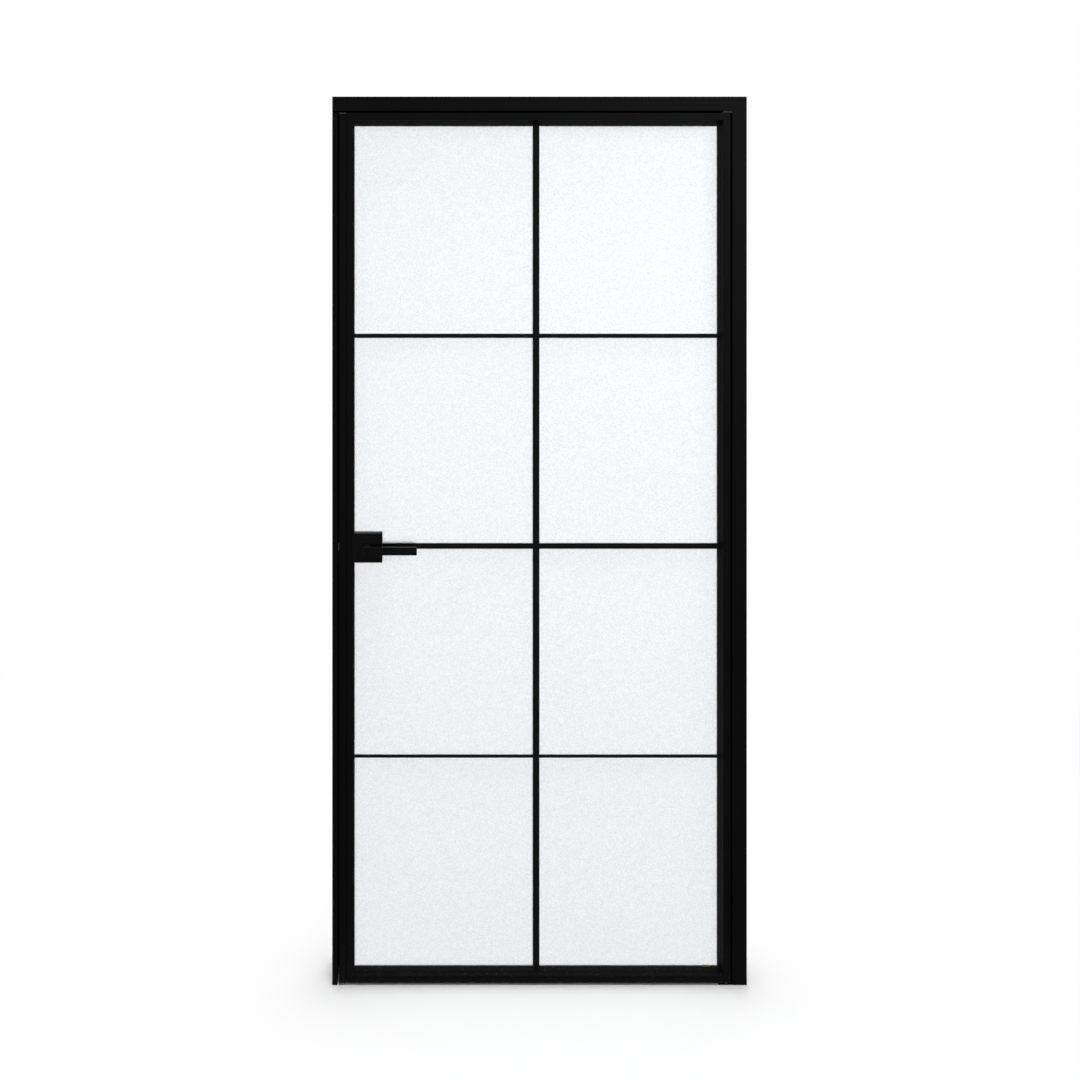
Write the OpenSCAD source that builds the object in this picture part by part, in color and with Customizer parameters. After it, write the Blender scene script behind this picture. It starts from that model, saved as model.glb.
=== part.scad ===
// Pivot-hung glass door in its own slim black aluminium frame, two panes wide and four panes high.
// X runs to the right, -Y is the side that faces the viewer, Z is up.
// The origin lies on the floor, halfway across the frame and halfway through the leaf.

/* [Frame] */
// Overall width of the frame
set_w = 980; // [860:1:1180]
// Overall height of the frame
set_h = 2100; // [1950:1:2500]
// Face width of the head and the hinge jamb
frame_face = 34; // [30:0.5:50]
// Face width of the slim strike jamb
strike_face = 12; // [12:0.5:30]
// Depth of the frame, front to back
frame_depth = 74; // [72:1:110]
// Wall of the frame's hollow profiles
frame_wall = 2; // [1.6:0.1:2.4]
// Gap between the leaf and its frame
leaf_gap = 4.5; // [4.5:0.1:6]
// Gap under the leaf
floor_gap = 5; // [5:0.5:12]
// Width of the stop strips behind the leaf
stop_w = 16.5; // [15:0.5:24]
// Gap between the leaf's back and the stop strips
stop_gap = 3; // [2.5:0.1:5]
// Height of the lowest wall fixing above the floor
fix_low = 150; // [100:5:250]
// Radius of the wall fixing holes
fix_r = 4.25; // [3:0.25:5]

/* [Leaf] */
// Depth of the leaf, front to back
leaf_depth = 56; // [54:1:60]
// Face width of the stiles and rails
leaf_face = 17; // [17:0.5:30]
// Face width of the closing profile on the lock side
closing_face = 17; // [14:0.5:30]
// Width of the shadow groove beside the closing profile
closing_groove = 1; // [0.5:0.1:3]
// Depth of the hollow front chamber of the stiles and rails
chamber_depth = 30; // [28:0.5:31]
// Wall of the leaf's hollow profiles
leaf_wall = 2; // [1.6:0.1:2.4]
// Thickness of the leg behind the chamber
leg_t = 5; // [4.5:0.1:6]
// Radius on the long edges that show
edge_r = 0.8; // [0.4:0.1:1.5]
// Distance of the pivot axis from the hinge edge of the leaf
pivot_in = 8.5; // [8.3:0.1:8.7]
// Distance of the pivot axis behind the leaf's face
pivot_back = 7.5; // [7.5:0.1:9]

/* [Glass and bars] */
// Thickness of the glass
glass_t = 8; // [6:0.5:9]
// Thickness of the gasket in front of the glass
front_gasket_t = 4; // [3:0.5:4.5]
// Thickness of the gasket behind the glass
rear_gasket_t = 3; // [2:0.5:4]
// Cover of the glass edge by the profiles
glass_cover = 9; // [7:0.5:10]
// Face width of the upright glazing bars
post_w = 15; // [8:0.5:24]
// Face width of the lower row of level glazing bars
low_row_w = 5.5; // [5:0.5:20]
// Face width of the middle row, at the height of the lock
mid_row_w = 13; // [6:0.5:24]
// Face width of the upper row
top_row_w = 9.5; // [6:0.5:24]
// Stand of the front bars off the glass
front_bar_d = 7; // [6:0.5:22]
// Stand of the rear bars off the glass
rear_bar_d = 7; // [6:0.5:12]
// Wall of the hollow glazing bars
bar_wall = 1.5; // [1:0.1:1.8]
// Thickness of the bonding tape behind the bars
tape_t = 1; // [0.5:0.1:1.5]

/* [Lock and handle] */
// Width of the lock covers
cover_w = 71; // [68:1:90]
// Height of the lock covers
cover_h = 69; // [69:1:100]
// Thickness of the lock covers
cover_t = 3; // [3:0.5:5]
// Lap of the lock covers over the lock stile
cover_lap = 4; // [2:0.5:8]
// Distance of the handle axis from the lock stile
handle_in = 31.5; // [31:0.5:33]
// Length of the lever
lever_len = 126; // [90:1:160]
// Height of the lever
lever_h = 18; // [18:0.5:24]
// Thickness of the lever
lever_t = 12; // [8:0.5:14]
// Reach of the lever's outer face from its cover
lever_reach = 51; // [42:1:70]
// Radius of the lever's neck
neck_r = 9; // [7:0.5:9]
// Side of the square spindle
spindle_w = 8; // [6:0.5:8]
// Height of the latch bolt
latch_h = 16.5; // [12:0.5:17]
// Thickness of the latch bolt
latch_t = 11; // [10:0.5:11]
// Throw of the latch bolt
latch_throw = 11; // [9:0.5:11]

/* [Hidden] */

// Clearances: pieces pushed together, pins that turn, holes round turning pieces, loose moving pieces,
// hairline at the mitres
push_clear = 0.2;
run_clear = 0.05;
turn_clear = 0.3;
loose_clear = 0.5;
mitre_gap = 0.1;
// Overshoot of the cutting shapes
over = 1;
// Fineness of the rounded edges and of the round bars
arc_steps = 4;
$fn = 64;

// Colours
coat = [0.08, 0.08, 0.085];
steel = [0.66, 0.67, 0.68];
mill = [0.55, 0.56, 0.57];
rubber = [0.03, 0.03, 0.03];
nylon = [0.12, 0.12, 0.12];
glass_tint = [0.85, 0.93, 0.93, 0.35];
tan = [0.5, 0.38, 0.17];

// Places across the set
frame_x = set_w / 2;
hinge_in_x = frame_x - frame_face;
strike_in_x = -frame_x + strike_face;
leaf_x1 = hinge_in_x - leaf_gap;
leaf_x0 = strike_in_x + leaf_gap;
closing_x1 = leaf_x0 + closing_face;
stile_x0 = closing_x1 + closing_groove;
sight_x0 = stile_x0 + leaf_face;
sight_x1 = leaf_x1 - leaf_face;
pivot_x = leaf_x1 - pivot_in;

// Places up the set
head_z0 = set_h - frame_face;
leaf_z0 = floor_gap;
leaf_z1 = head_z0 - leaf_gap;
sight_z0 = leaf_z0 + leaf_face;
sight_z1 = leaf_z1 - leaf_face;
mid_z = (sight_z0 + sight_z1) / 2;
panes_high = 4;
row_pitch = (sight_z1 - sight_z0) / panes_high;

// Places through the depth
front_y = -leaf_depth / 2;
rear_y = leaf_depth / 2;
back_y = front_y + frame_depth;
stop_y = rear_y + stop_gap;
chamber_y = front_y + chamber_depth;
glass_y0 = chamber_y + front_gasket_t;
glass_y1 = glass_y0 + glass_t;
bead_y = glass_y1 + rear_gasket_t;
pivot_y = front_y + pivot_back;

// Glass edges
glass_x0 = sight_x0 - glass_cover;
glass_x1 = sight_x1 + glass_cover;
glass_z0 = sight_z0 - glass_cover;
glass_z1 = sight_z1 + glass_cover;

// Glazing bars: middle of the upright one, widths of the rows from the bottom, depths in front of the
// glass and behind it
post_x = (sight_x0 + sight_x1) / 2;
row_widths = [low_row_w, mid_row_w, top_row_w];
front_span = [glass_y0 - front_bar_d, glass_y0 - tape_t];
rear_span = [glass_y1 + tape_t, glass_y1 + rear_bar_d];

// Details of the leaf profiles
return_groove_in = 11;
return_groove_y = front_y + return_groove_in;
return_groove_w = 2;
return_groove_d = 0.8;
joint_rib = 20;
clip_in = 3.5;
clip_y = bead_y + clip_in;
clip_h = 2.5;
clip_d = 1.5;
bead_wall = 1.8;
gasket_inset = 0.5;
setting_len = 100;
packer_len = 16;
packer_rise = 1;
packer_in = 18.5;
packer_x1 = sight_x1 - packer_in;
packer_x0 = packer_x1 - packer_len;
cleat_leg = 60;
cap_plug = 8;

// Details of the frame
frame_cleat_leg = 80;
frame_cleat_y1 = 14;
spigot_y0 = 0;
spigot_short = 4;
spigot_y1 = back_y - frame_wall - spigot_short;
spigot_leg = 80;
spigot_rise = 19;
cap_plug_gap = 4;
cap_plug_y1 = spigot_y0 - cap_plug_gap;

// Seals and brush
seal_w = 3;
seal_clear = 0.9;
seal_inset = 2;
seal_round = 0.7;
tongue_w = 1.4;
tongue_d = 3;
brush_w = 3;
brush_root_w = 5;
brush_y = (chamber_y + rear_y) / 2;
brush_neck = 1;
brush_root_h = 2.3;
brush_lift = 0.5;
brush_x0 = stile_x0 + leg_t;
brush_end = 45;
brush_x1 = pivot_x - brush_end;

// Pivots
pin_r = 4;
pin_engage = 25;
foot_t = 3;
foot_tongue = 32;
foot_inset = 0.5;
foot_back = 12.5;
foot_y0 = front_y + foot_inset;
foot_y1 = pivot_y + foot_back;
washer_r = 6;
washer_z1 = leaf_z0 + leaf_wall;
top_plate_w = 24;
top_plate_drop = 4;
top_plate_slope = 5;

// Wall fixings
fix_y = 10;
fix_head_r = 7;
fix_count = 4;
fix_step = (set_h - 2 * fix_low) / (fix_count - 1);

// Lock
handle_x = sight_x0 + handle_in;
cover_x0 = sight_x0 - cover_lap;
cover_x1 = cover_x0 + cover_w;
cover_half = cover_h / 2;
cover_wall = 2;
cover_edge = 0.6;
skirt_gap = 0.3;
case_wall = 1.5;
case_x0 = leaf_x0 + leaf_wall + push_clear;
case_inset = 6.5;
case_x1 = cover_x1 - case_inset;
case_y = latch_t / 2 + loose_clear + case_wall;
case_half = cover_half - case_inset;
case_cut = 0.5;
notch_gap = 2.7;
notch_r = 8;
latch_way_clear = 0.3;
latch_tip_x = leaf_x0 - latch_throw;
hub_r = 9;
hub_half = case_y + case_wall;
arm_w = 5;
arm_r = 18;
arm_half = 2;
hub_gap = 1.5;
tail_z0 = hub_r + hub_gap;
tail_half = latch_t / 2 - loose_clear;
hook_gap = 0.8;
hook_w = 6;
riser_w = 6;
body_x1 = handle_x - hub_r - latch_throw - hub_gap;
hook_x0 = handle_x + arm_w / 2 + hook_gap;
hook_x1 = hook_x0 + hook_w;
edge_plate_t = 1.5;
forend_w = 20;
forend_h = 130;
forend_screw_z = 55;
strike_w = 22;
strike_h = 90;
strike_screw_z = 36;
strike_gap = 1;
screw_r = 2;
screw_head_r = 3.2;
screw_head_t = 1;
screw_len = 9;
cover_screw_z = 22;
cover_head_r = 3.6;
cover_head_t = 2;
boss_r = 4;

// Levers
lever_y = front_y - cover_t - lever_reach;
lever_tail = 11;
lever_bend = 6;
lever_round = 2;
neck_y1 = front_y + cover_t;
spindle_clear = 0.1;
spindle_short = 10;
spindle_half = -lever_y - lever_t - spindle_short;
spindle_bite = 8;
lever_head_r = 4.2;
lever_head_t = 3;
lever_head_sink = 1;

// Quarter round about a centre, from a start angle
function arc(c, r, a0) = [
    for (i = [0 : arc_steps])
    let (a = a0 + 90 * i / arc_steps)
    [c[0] + r * cos(a), c[1] + r * sin(a)]
];

// Rectangle with all four corners rounded
function round_box(p0, p1, r) = concat(
    arc([p0[0] + r, p0[1] + r], r, 180),
    arc([p1[0] - r, p0[1] + r], r, 270),
    arc([p1[0] - r, p1[1] - r], r, 0),
    arc([p0[0] + r, p1[1] - r], r, 90)
);

// Rectangle from corner to corner
module rect(p0, p1) {
    translate(p0) square(p1 - p0);
}

// Box from corner to corner
module block(p0, p1) {
    translate(p0) cube(p1 - p0);
}

// Section in X and Y, drawn up from z0 to z1
module upright(z0, z1) {
    translate([0, 0, z0]) linear_extrude(z1 - z0) children();
}

// Section in Z and Y, drawn across from x0 to x1
module across(x0, x1) {
    translate([x1, 0, 0]) rotate([0, -90, 0]) linear_extrude(x1 - x0) children();
}

// Outline in X and Z, drawn through the depth from y0 to y1
module through(y0, y1) {
    translate([0, y1, 0]) rotate([90, 0, 0]) linear_extrude(y1 - y0) children();
}

// Round bars along X, Y and Z
module rod_x(p, r, len) {
    translate(p) rotate([0, 90, 0]) cylinder(r = r, h = len);
}

module rod_y(p, r, len) {
    translate(p) rotate([-90, 0, 0]) cylinder(r = r, h = len);
}

module rod_z(p, r, len) {
    translate(p) cylinder(r = r, h = len);
}

// Hollow frame profile of a face width, from the wall side inwards
module frame_section(face) {
    difference() {
        polygon(round_box([0, front_y], [face, back_y], edge_r));
        rect([frame_wall, front_y + frame_wall], [face - frame_wall, back_y - frame_wall]);
    }
}

// Hollow stop strip from the frame inwards, with a slot for its seal near the inner edge
module stop_section() {
    slot_half = tongue_w / 2 + push_clear / 2;
    difference() {
        rect([0, stop_y], [stop_w, back_y]);
        rect([frame_wall, stop_y + frame_wall], [stop_w - frame_wall, back_y - frame_wall]);
        rect([stop_w - seal_inset - slot_half, stop_y - over],
             [stop_w - seal_inset + slot_half, stop_y + frame_wall + over]);
    }
}

// Bulb seal with its tongue in the stop strip, from the frame inwards
module seal_section() {
    u0 = stop_w - seal_inset - seal_w / 2;
    u1 = u0 + seal_w;
    t0 = stop_w - seal_inset - tongue_w / 2;
    t1 = t0 + tongue_w;
    y0 = rear_y + seal_clear;
    polygon(concat(
        arc([u0 + seal_round, y0 + seal_round], seal_round, 180),
        arc([u1 - seal_round, y0 + seal_round], seal_round, 270),
        [[u1, stop_y], [t1, stop_y], [t1, stop_y + tongue_d],
         [t0, stop_y + tongue_d], [t0, stop_y], [u0, stop_y]]
    ));
}

// Bolt holes to the wall and the wider holes that let the bolt heads in, along X
module wall_fixings(x_wall, x_inner) {
    for (i = [0 : fix_count - 1]) {
        z = fix_low + i * fix_step;
        rod_x([x_wall - frame_wall - over, fix_y, z], fix_r, 2 * (frame_wall + over));
        rod_x([x_inner - frame_wall - over, fix_y, z], fix_head_r, 2 * (frame_wall + over));
    }
}

module frame_head() {
    color(coat) difference() {
        intersection() {
            across(-frame_x + frame_wall, frame_x)
                translate([set_h, 0]) mirror([1, 0]) frame_section(frame_face);
            through(front_y - over, back_y + over)
                polygon([[-frame_x, head_z0 - over], [-frame_x, set_h + over], [frame_x + over, set_h + over],
                         [hinge_in_x - over, head_z0 - over]]);
        }
        rod_z([pivot_x, pivot_y, head_z0 - over], pin_r + push_clear, frame_wall + 2 * over);
        block([-frame_x + frame_wall, spigot_y0 - push_clear, head_z0 - over],
              [strike_in_x - frame_wall, spigot_y1 + push_clear, head_z0 + frame_wall + over]);
    }
}

module hinge_jamb() {
    color(coat) difference() {
        intersection() {
            upright(foot_t, set_h) translate([frame_x, 0]) mirror([1, 0]) frame_section(frame_face);
            through(front_y - over, back_y + over)
                polygon([[frame_x + over, foot_t - over],
                         [frame_x + over, set_h + over - mitre_gap],
                         [hinge_in_x - over, head_z0 - over - mitre_gap],
                         [hinge_in_x - over, foot_t - over]]);
        }
        wall_fixings(frame_x, hinge_in_x);
    }
}

module strike_jamb() {
    color(coat) difference() {
        upright(0, leaf_z1) translate([-frame_x, 0]) frame_section(strike_face);
        wall_fixings(-frame_x, strike_in_x);
        latch_way(strike_in_x - frame_wall - over, strike_in_x + over, strike_gap);
        for (s = [-1, 1])
            rod_x([strike_in_x - frame_wall - over, 0, mid_z + s * strike_screw_z],
                  screw_r + run_clear, frame_wall + 2 * over);
    }
}

module head_end_cap() {
    gap = frame_wall + push_clear;
    color(coat) {
        across(-frame_x, -frame_x + frame_wall)
            polygon(round_box([head_z0, front_y], [set_h, back_y], edge_r));
        block([-frame_x + frame_wall, front_y + gap, head_z0 + gap],
              [-frame_x + frame_wall + cap_plug, cap_plug_y1, set_h - gap]);
    }
}

module frame_corner_cleat() {
    gap = frame_wall + push_clear;
    color(mill) difference() {
        through(front_y + gap, frame_cleat_y1)
            polygon([[frame_x - gap, set_h - gap], [frame_x - frame_cleat_leg, set_h - gap],
                     [frame_x - frame_cleat_leg, head_z0 + gap], [hinge_in_x + gap, head_z0 + gap],
                     [hinge_in_x + gap, set_h - frame_cleat_leg], [frame_x - gap, set_h - frame_cleat_leg]]);
        rod_z([pivot_x, pivot_y, head_z0], pin_r + run_clear, pin_engage + push_clear);
    }
}

module strike_jamb_spigot() {
    color(mill) block([-frame_x + frame_wall + push_clear, spigot_y0, leaf_z1 - spigot_leg],
                      [strike_in_x - frame_wall - push_clear, spigot_y1, head_z0 + spigot_rise]);
}

module head_stop() {
    color(coat) across(strike_in_x + stop_w, hinge_in_x - stop_w)
        translate([head_z0, 0]) mirror([1, 0]) stop_section();
}

module hinge_stop() {
    color(coat) upright(0, head_z0) translate([hinge_in_x, 0]) mirror([1, 0]) stop_section();
}

module strike_stop() {
    color(coat) upright(0, head_z0) translate([strike_in_x, 0]) stop_section();
}

module head_seal() {
    color(rubber) across(strike_in_x + stop_w, hinge_in_x - stop_w)
        translate([head_z0, 0]) mirror([1, 0]) seal_section();
}

module hinge_seal() {
    color(rubber) upright(0, head_z0) translate([hinge_in_x, 0]) mirror([1, 0]) seal_section();
}

module strike_seal() {
    color(rubber) upright(0, head_z0) translate([strike_in_x, 0]) seal_section();
}

// Slot for the latch bolt, wider than the bolt by a clearance all round
module latch_way(x0, x1, clear) {
    block([x0, -latch_t / 2 - clear, mid_z - latch_h / 2 - clear],
          [x1, latch_t / 2 + clear, mid_z + latch_h / 2 + clear]);
}

// Thin plate on an edge with the latch slot and two screw holes; dir = 1 lies on a face towards +X
module edge_plate(x, dir, w, h, screw_z, clear) {
    x0 = min(x, x + dir * edge_plate_t);
    seat_x = x + dir * (edge_plate_t - screw_head_t);
    difference() {
        through(-w / 2, w / 2) rect([x0, mid_z - h / 2], [x0 + edge_plate_t, mid_z + h / 2]);
        latch_way(x0 - over, x0 + edge_plate_t + over, clear);
        for (s = [-1, 1]) {
            rod_x([x0 - over, 0, mid_z + s * screw_z], screw_r + run_clear, edge_plate_t + 2 * over);
            rod_x([min(seat_x, seat_x + dir * 2 * over), 0, mid_z + s * screw_z],
                  screw_head_r + run_clear, 2 * over);
        }
    }
}

// Two flat-headed screws through an edge plate, heads flush with its outer face
module edge_screws(x, dir, screw_z) {
    face_x = x + dir * edge_plate_t;
    for (s = [-1, 1]) {
        rod_x([min(face_x, face_x - dir * screw_head_t), 0, mid_z + s * screw_z], screw_head_r, screw_head_t);
        rod_x([min(face_x, face_x - dir * screw_len), 0, mid_z + s * screw_z], screw_r, screw_len);
    }
}

module strike_plate() {
    color(coat) edge_plate(strike_in_x, 1, strike_w, strike_h, strike_screw_z, strike_gap);
}

module strike_screws() {
    color(steel) edge_screws(strike_in_x, 1, strike_screw_z);
}

module forend() {
    color(coat) edge_plate(leaf_x0, -1, forend_w, forend_h, forend_screw_z, latch_way_clear);
}

module forend_screws() {
    color(steel) edge_screws(leaf_x0, -1, forend_screw_z);
}

module top_pivot_pin() {
    color(steel) rod_z([pivot_x, pivot_y, leaf_z1 - pin_engage], pin_r, leaf_gap + 2 * pin_engage);
}

// Plate with a sloping end under the head, in the top gap round the pivot pin
module top_pivot_plate() {
    x0 = hinge_in_x - top_plate_w;
    z0 = head_z0 - top_plate_drop;
    color(steel) difference() {
        through(foot_y0, pivot_y + washer_r)
            polygon([[x0, z0], [hinge_in_x, z0], [hinge_in_x, head_z0], [x0 + top_plate_slope, head_z0]]);
        rod_z([pivot_x, pivot_y, leaf_z1], pin_r + run_clear, leaf_gap + over);
    }
}

// Foot under the hinge jamb with the tongue that carries the leaf
module pivot_foot_plate() {
    color(steel) difference() {
        union() {
            upright(0, foot_t) rect([hinge_in_x, front_y], [frame_x, back_y]);
            upright(0, foot_t) rect([hinge_in_x - foot_tongue, foot_y0], [hinge_in_x + over, foot_y1]);
        }
        rod_z([pivot_x, pivot_y, -over], pin_r + run_clear, foot_t + 2 * over);
    }
}

module bottom_pivot_pin() {
    color(steel) rod_z([pivot_x, pivot_y, 0], pin_r, washer_z1 + pin_engage);
}

module bottom_pivot_washer() {
    color(steel) difference() {
        rod_z([pivot_x, pivot_y, foot_t], washer_r, washer_z1 - foot_t);
        rod_z([pivot_x, pivot_y, foot_t - over], pin_r + run_clear, washer_z1 - foot_t + 2 * over);
    }
}

// Profile of the stiles and rails, from the leaf's edge inwards
module leaf_section() {
    difference() {
        polygon(concat(
            arc([edge_r, front_y + edge_r], edge_r, 180),
            arc([leaf_face - edge_r, front_y + edge_r], edge_r, 270),
            [[leaf_face, return_groove_y], [leaf_face - return_groove_d, return_groove_y],
             [leaf_face - return_groove_d, return_groove_y + return_groove_w],
             [leaf_face, return_groove_y + return_groove_w], [leaf_face, chamber_y], [leg_t, chamber_y],
             [leg_t, clip_y], [leg_t - clip_d, clip_y], [leg_t - clip_d, clip_y + clip_h],
             [leg_t, clip_y + clip_h], [leg_t, rear_y]],
            arc([edge_r, rear_y - edge_r], edge_r, 90)
        ));
        rect([leaf_wall, front_y + leaf_wall], [leaf_face - leaf_wall, chamber_y - leaf_wall]);
    }
}

// Clip-in hollow bead behind the glass, with its tongue in the leg
module bead_section() {
    difference() {
        polygon(concat(
            [[leg_t, bead_y], [leaf_face, bead_y]],
            arc([leaf_face - edge_r, rear_y - edge_r], edge_r, 0),
            [[leg_t, rear_y], [leg_t, clip_y + clip_h - push_clear],
             [leg_t - clip_d + push_clear, clip_y + clip_h - push_clear],
             [leg_t - clip_d + push_clear, clip_y + push_clear], [leg_t, clip_y + push_clear]]
        ));
        rect([leg_t + bead_wall, bead_y + bead_wall], [leaf_face - bead_wall, rear_y - bead_wall]);
    }
}

// Keeps an upright between its two mitres; dir points from its outer edge inwards
module stile_mitres(x_edge, dir) {
    reach = leaf_face + over;
    z0 = leaf_z0 + mitre_gap;
    z1 = leaf_z1 - mitre_gap;
    intersection() {
        children();
        through(front_y - over, rear_y + over)
            polygon([[x_edge - dir * over, z0 - over], [x_edge + dir * reach, z0 + reach],
                     [x_edge + dir * reach, z1 - reach], [x_edge - dir * over, z1 + over]]);
    }
}

// Keeps a rail between its two mitres; dir points from its outer edge inwards
module rail_mitres(z_edge, dir) {
    reach = leaf_face + over;
    intersection() {
        children();
        through(front_y - over, rear_y + over)
            polygon([[stile_x0 - over, z_edge - dir * over], [stile_x0 + reach, z_edge + dir * reach],
                     [leaf_x1 - reach, z_edge + dir * reach], [leaf_x1 + over, z_edge - dir * over]]);
    }
}

// Room for the lock case through the profiles on the lock side
module case_way(x0, x1) {
    block([x0, -case_y - case_cut, mid_z - case_half - case_cut],
          [x1, case_y + case_cut, mid_z + case_half + case_cut]);
}

module lock_stile() {
    color(coat) difference() {
        stile_mitres(stile_x0, 1)
            upright(leaf_z0, leaf_z1) translate([stile_x0, 0]) leaf_section();
        case_way(stile_x0 - over, sight_x0 + over);
    }
}

module hinge_stile() {
    color(coat) stile_mitres(leaf_x1, -1)
        upright(leaf_z0, leaf_z1) translate([leaf_x1, 0]) mirror([1, 0]) leaf_section();
}

module top_rail() {
    color(coat) difference() {
        rail_mitres(leaf_z1, -1)
            across(stile_x0, leaf_x1) translate([leaf_z1, 0]) mirror([1, 0]) leaf_section();
        rod_z([pivot_x, pivot_y, leaf_z1 - leaf_wall - over], pin_r + loose_clear, leaf_wall + 2 * over);
    }
}

module bottom_rail() {
    color(coat) difference() {
        rail_mitres(leaf_z0, 1)
            across(stile_x0, leaf_x1) translate([leaf_z0, 0]) leaf_section();
        rod_z([pivot_x, pivot_y, leaf_z0 - over], washer_r + turn_clear, leaf_wall + over);
        across(brush_x0 - push_clear, brush_x1 + push_clear) brush_section(push_clear);
    }
}

// Brush with its root, grown by a clearance where it is used as a slot
module brush_section(grow) {
    neck_z = leaf_z0 + brush_neck;
    rect([brush_lift, brush_y - brush_w / 2 - grow], [neck_z + brush_root_h, brush_y + brush_w / 2 + grow]);
    rect([neck_z - grow, brush_y - brush_root_w / 2 - grow],
         [neck_z + brush_root_h + grow, brush_y + brush_root_w / 2 + grow]);
}

module brush_seal() {
    color(rubber) across(brush_x0, brush_x1) brush_section(0);
}

// Closing profile on the lock side, with the rib that joins it to the lock stile
module closing_profile() {
    color(coat) difference() {
        upright(leaf_z0 + leaf_wall, leaf_z1 - leaf_wall) {
            difference() {
                polygon(round_box([leaf_x0, front_y], [closing_x1, rear_y], edge_r));
                rect([leaf_x0 + leaf_wall, front_y + leaf_wall],
                     [closing_x1 - leaf_wall, rear_y - leaf_wall]);
            }
            rect([closing_x1 - leaf_wall, -joint_rib], [stile_x0, joint_rib]);
        }
        case_way(closing_x1 - leaf_wall - over, stile_x0 + over);
        latch_way(leaf_x0 - over, leaf_x0 + leaf_wall + over, latch_way_clear);
        for (s = [-1, 1])
            rod_x([leaf_x0 - over, 0, mid_z + s * forend_screw_z], screw_r + run_clear, leaf_wall + 2 * over);
    }
}

module closing_profile_caps() {
    gap = leaf_wall + push_clear;
    color(nylon) for (end = [[leaf_z0, 1], [leaf_z1, -1]]) {
        z = end[0];
        z_in = z + end[1] * leaf_wall;
        z_plug = z + end[1] * (leaf_wall + cap_plug);
        upright(min(z, z_in), max(z, z_in))
            polygon(round_box([leaf_x0, front_y], [closing_x1, rear_y], edge_r));
        block([leaf_x0 + gap, front_y + gap, min(z_in, z_plug)],
              [closing_x1 - gap, rear_y - gap, max(z_in, z_plug)]);
    }
}

// Corner piece in the chambers of a stile and a rail; dx and dz point from the corner inwards
module corner_block(x_edge, z_edge, dx, dz) {
    u0 = leaf_wall;
    u1 = leaf_face - leaf_wall - push_clear;
    outline = [[u0, u0], [cleat_leg, u0], [cleat_leg, u1], [u1, u1], [u1, cleat_leg], [u0, cleat_leg]];
    through(front_y + leaf_wall + push_clear, chamber_y - leaf_wall - push_clear)
        polygon([for (p = outline) [x_edge + dx * p[0], z_edge + dz * p[1]]]);
}

module lock_corner_cleats() {
    color(mill) {
        corner_block(stile_x0, leaf_z0, 1, 1);
        corner_block(stile_x0, leaf_z1, 1, -1);
    }
}

module top_pivot_block() {
    color(mill) difference() {
        corner_block(leaf_x1, leaf_z1, -1, -1);
        rod_z([pivot_x, pivot_y, leaf_z1 - pin_engage - over], pin_r + run_clear, pin_engage + 2 * over);
    }
}

module bottom_pivot_block() {
    color(mill) difference() {
        corner_block(leaf_x1, leaf_z0, -1, 1);
        rod_z([pivot_x, pivot_y, leaf_z0], pin_r + run_clear, leaf_wall + pin_engage + over);
    }
}

// One sheet of glass with a rounded notch for the lock case
module glass_pane() {
    x1 = case_x1 + notch_gap;
    z0 = mid_z - case_half - notch_gap;
    z1 = mid_z + case_half + notch_gap;
    color(glass_tint) through(glass_y0, glass_y1) difference() {
        rect([glass_x0, glass_z0], [glass_x1, glass_z1]);
        polygon(concat(
            [[glass_x0 - over, z0]],
            arc([x1 - notch_r, z0 + notch_r], notch_r, 270),
            arc([x1 - notch_r, z1 - notch_r], notch_r, 0),
            [[glass_x0 - over, z1]]
        ));
    }
}

// Gasket strips along the four edges of the glass, between y0 and y1
module gasket_strips(y0, y1) {
    w = glass_cover - gasket_inset;
    for (x = [glass_x0, glass_x1 - w])
        block([x, y0, glass_z0], [x + w, y1, glass_z1]);
    for (z = [glass_z0, glass_z1 - w])
        block([glass_x0 + w + mitre_gap, y0, z], [glass_x1 - w - mitre_gap, y1, z + w]);
}

module front_glazing_gaskets() {
    color(rubber) difference() {
        gasket_strips(chamber_y, glass_y0);
        case_way(glass_x0 - over, sight_x0);
        block([packer_x0 - mitre_gap, chamber_y - over, glass_z0 - over],
              [packer_x1 + mitre_gap, glass_y0 + over, sight_z0]);
    }
}

module rear_glazing_gaskets() {
    color(rubber) gasket_strips(glass_y1, bead_y);
}

module setting_blocks() {
    color(nylon) for (x = [glass_x0 + setting_len, glass_x1 - 2 * setting_len])
        block([x, glass_y0, leaf_z0 + leg_t], [x + setting_len, glass_y1, glass_z0]);
}

// Packer that shows at the foot of the glass, let into the front gasket
module glazing_packer() {
    color(tan) block([packer_x0, chamber_y, glass_z0], [packer_x1, glass_y0, sight_z0 + packer_rise]);
}

module glazing_bead_lock() {
    color(coat) upright(sight_z0, sight_z1) translate([stile_x0, 0]) bead_section();
}

module glazing_bead_hinge() {
    color(coat) upright(sight_z0, sight_z1) translate([leaf_x1, 0]) mirror([1, 0]) bead_section();
}

module glazing_bead_top() {
    color(coat) across(stile_x0 + leg_t, leaf_x1 - leg_t)
        translate([leaf_z1, 0]) mirror([1, 0]) bead_section();
}

module glazing_bead_bottom() {
    color(coat) across(stile_x0 + leg_t, leaf_x1 - leg_t) translate([leaf_z0, 0]) bead_section();
}

// Hollow glazing bar of a face width, about u = 0
module bar_section(w, span) {
    difference() {
        polygon(round_box([-w / 2, span[0]], [w / 2, span[1]], edge_r));
        rect([-w / 2 + bar_wall, span[0] + bar_wall], [w / 2 - bar_wall, span[1] - bar_wall]);
    }
}

module post_bar(span) {
    color(coat) upright(sight_z0 + push_clear, sight_z1 - push_clear)
        translate([post_x, 0]) bar_section(post_w, span);
}

// Left end of a row of bars: the middle row starts at the lock covers
function row_x0(row) = (row == 2 ? cover_x1 : sight_x0) + push_clear;

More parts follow.
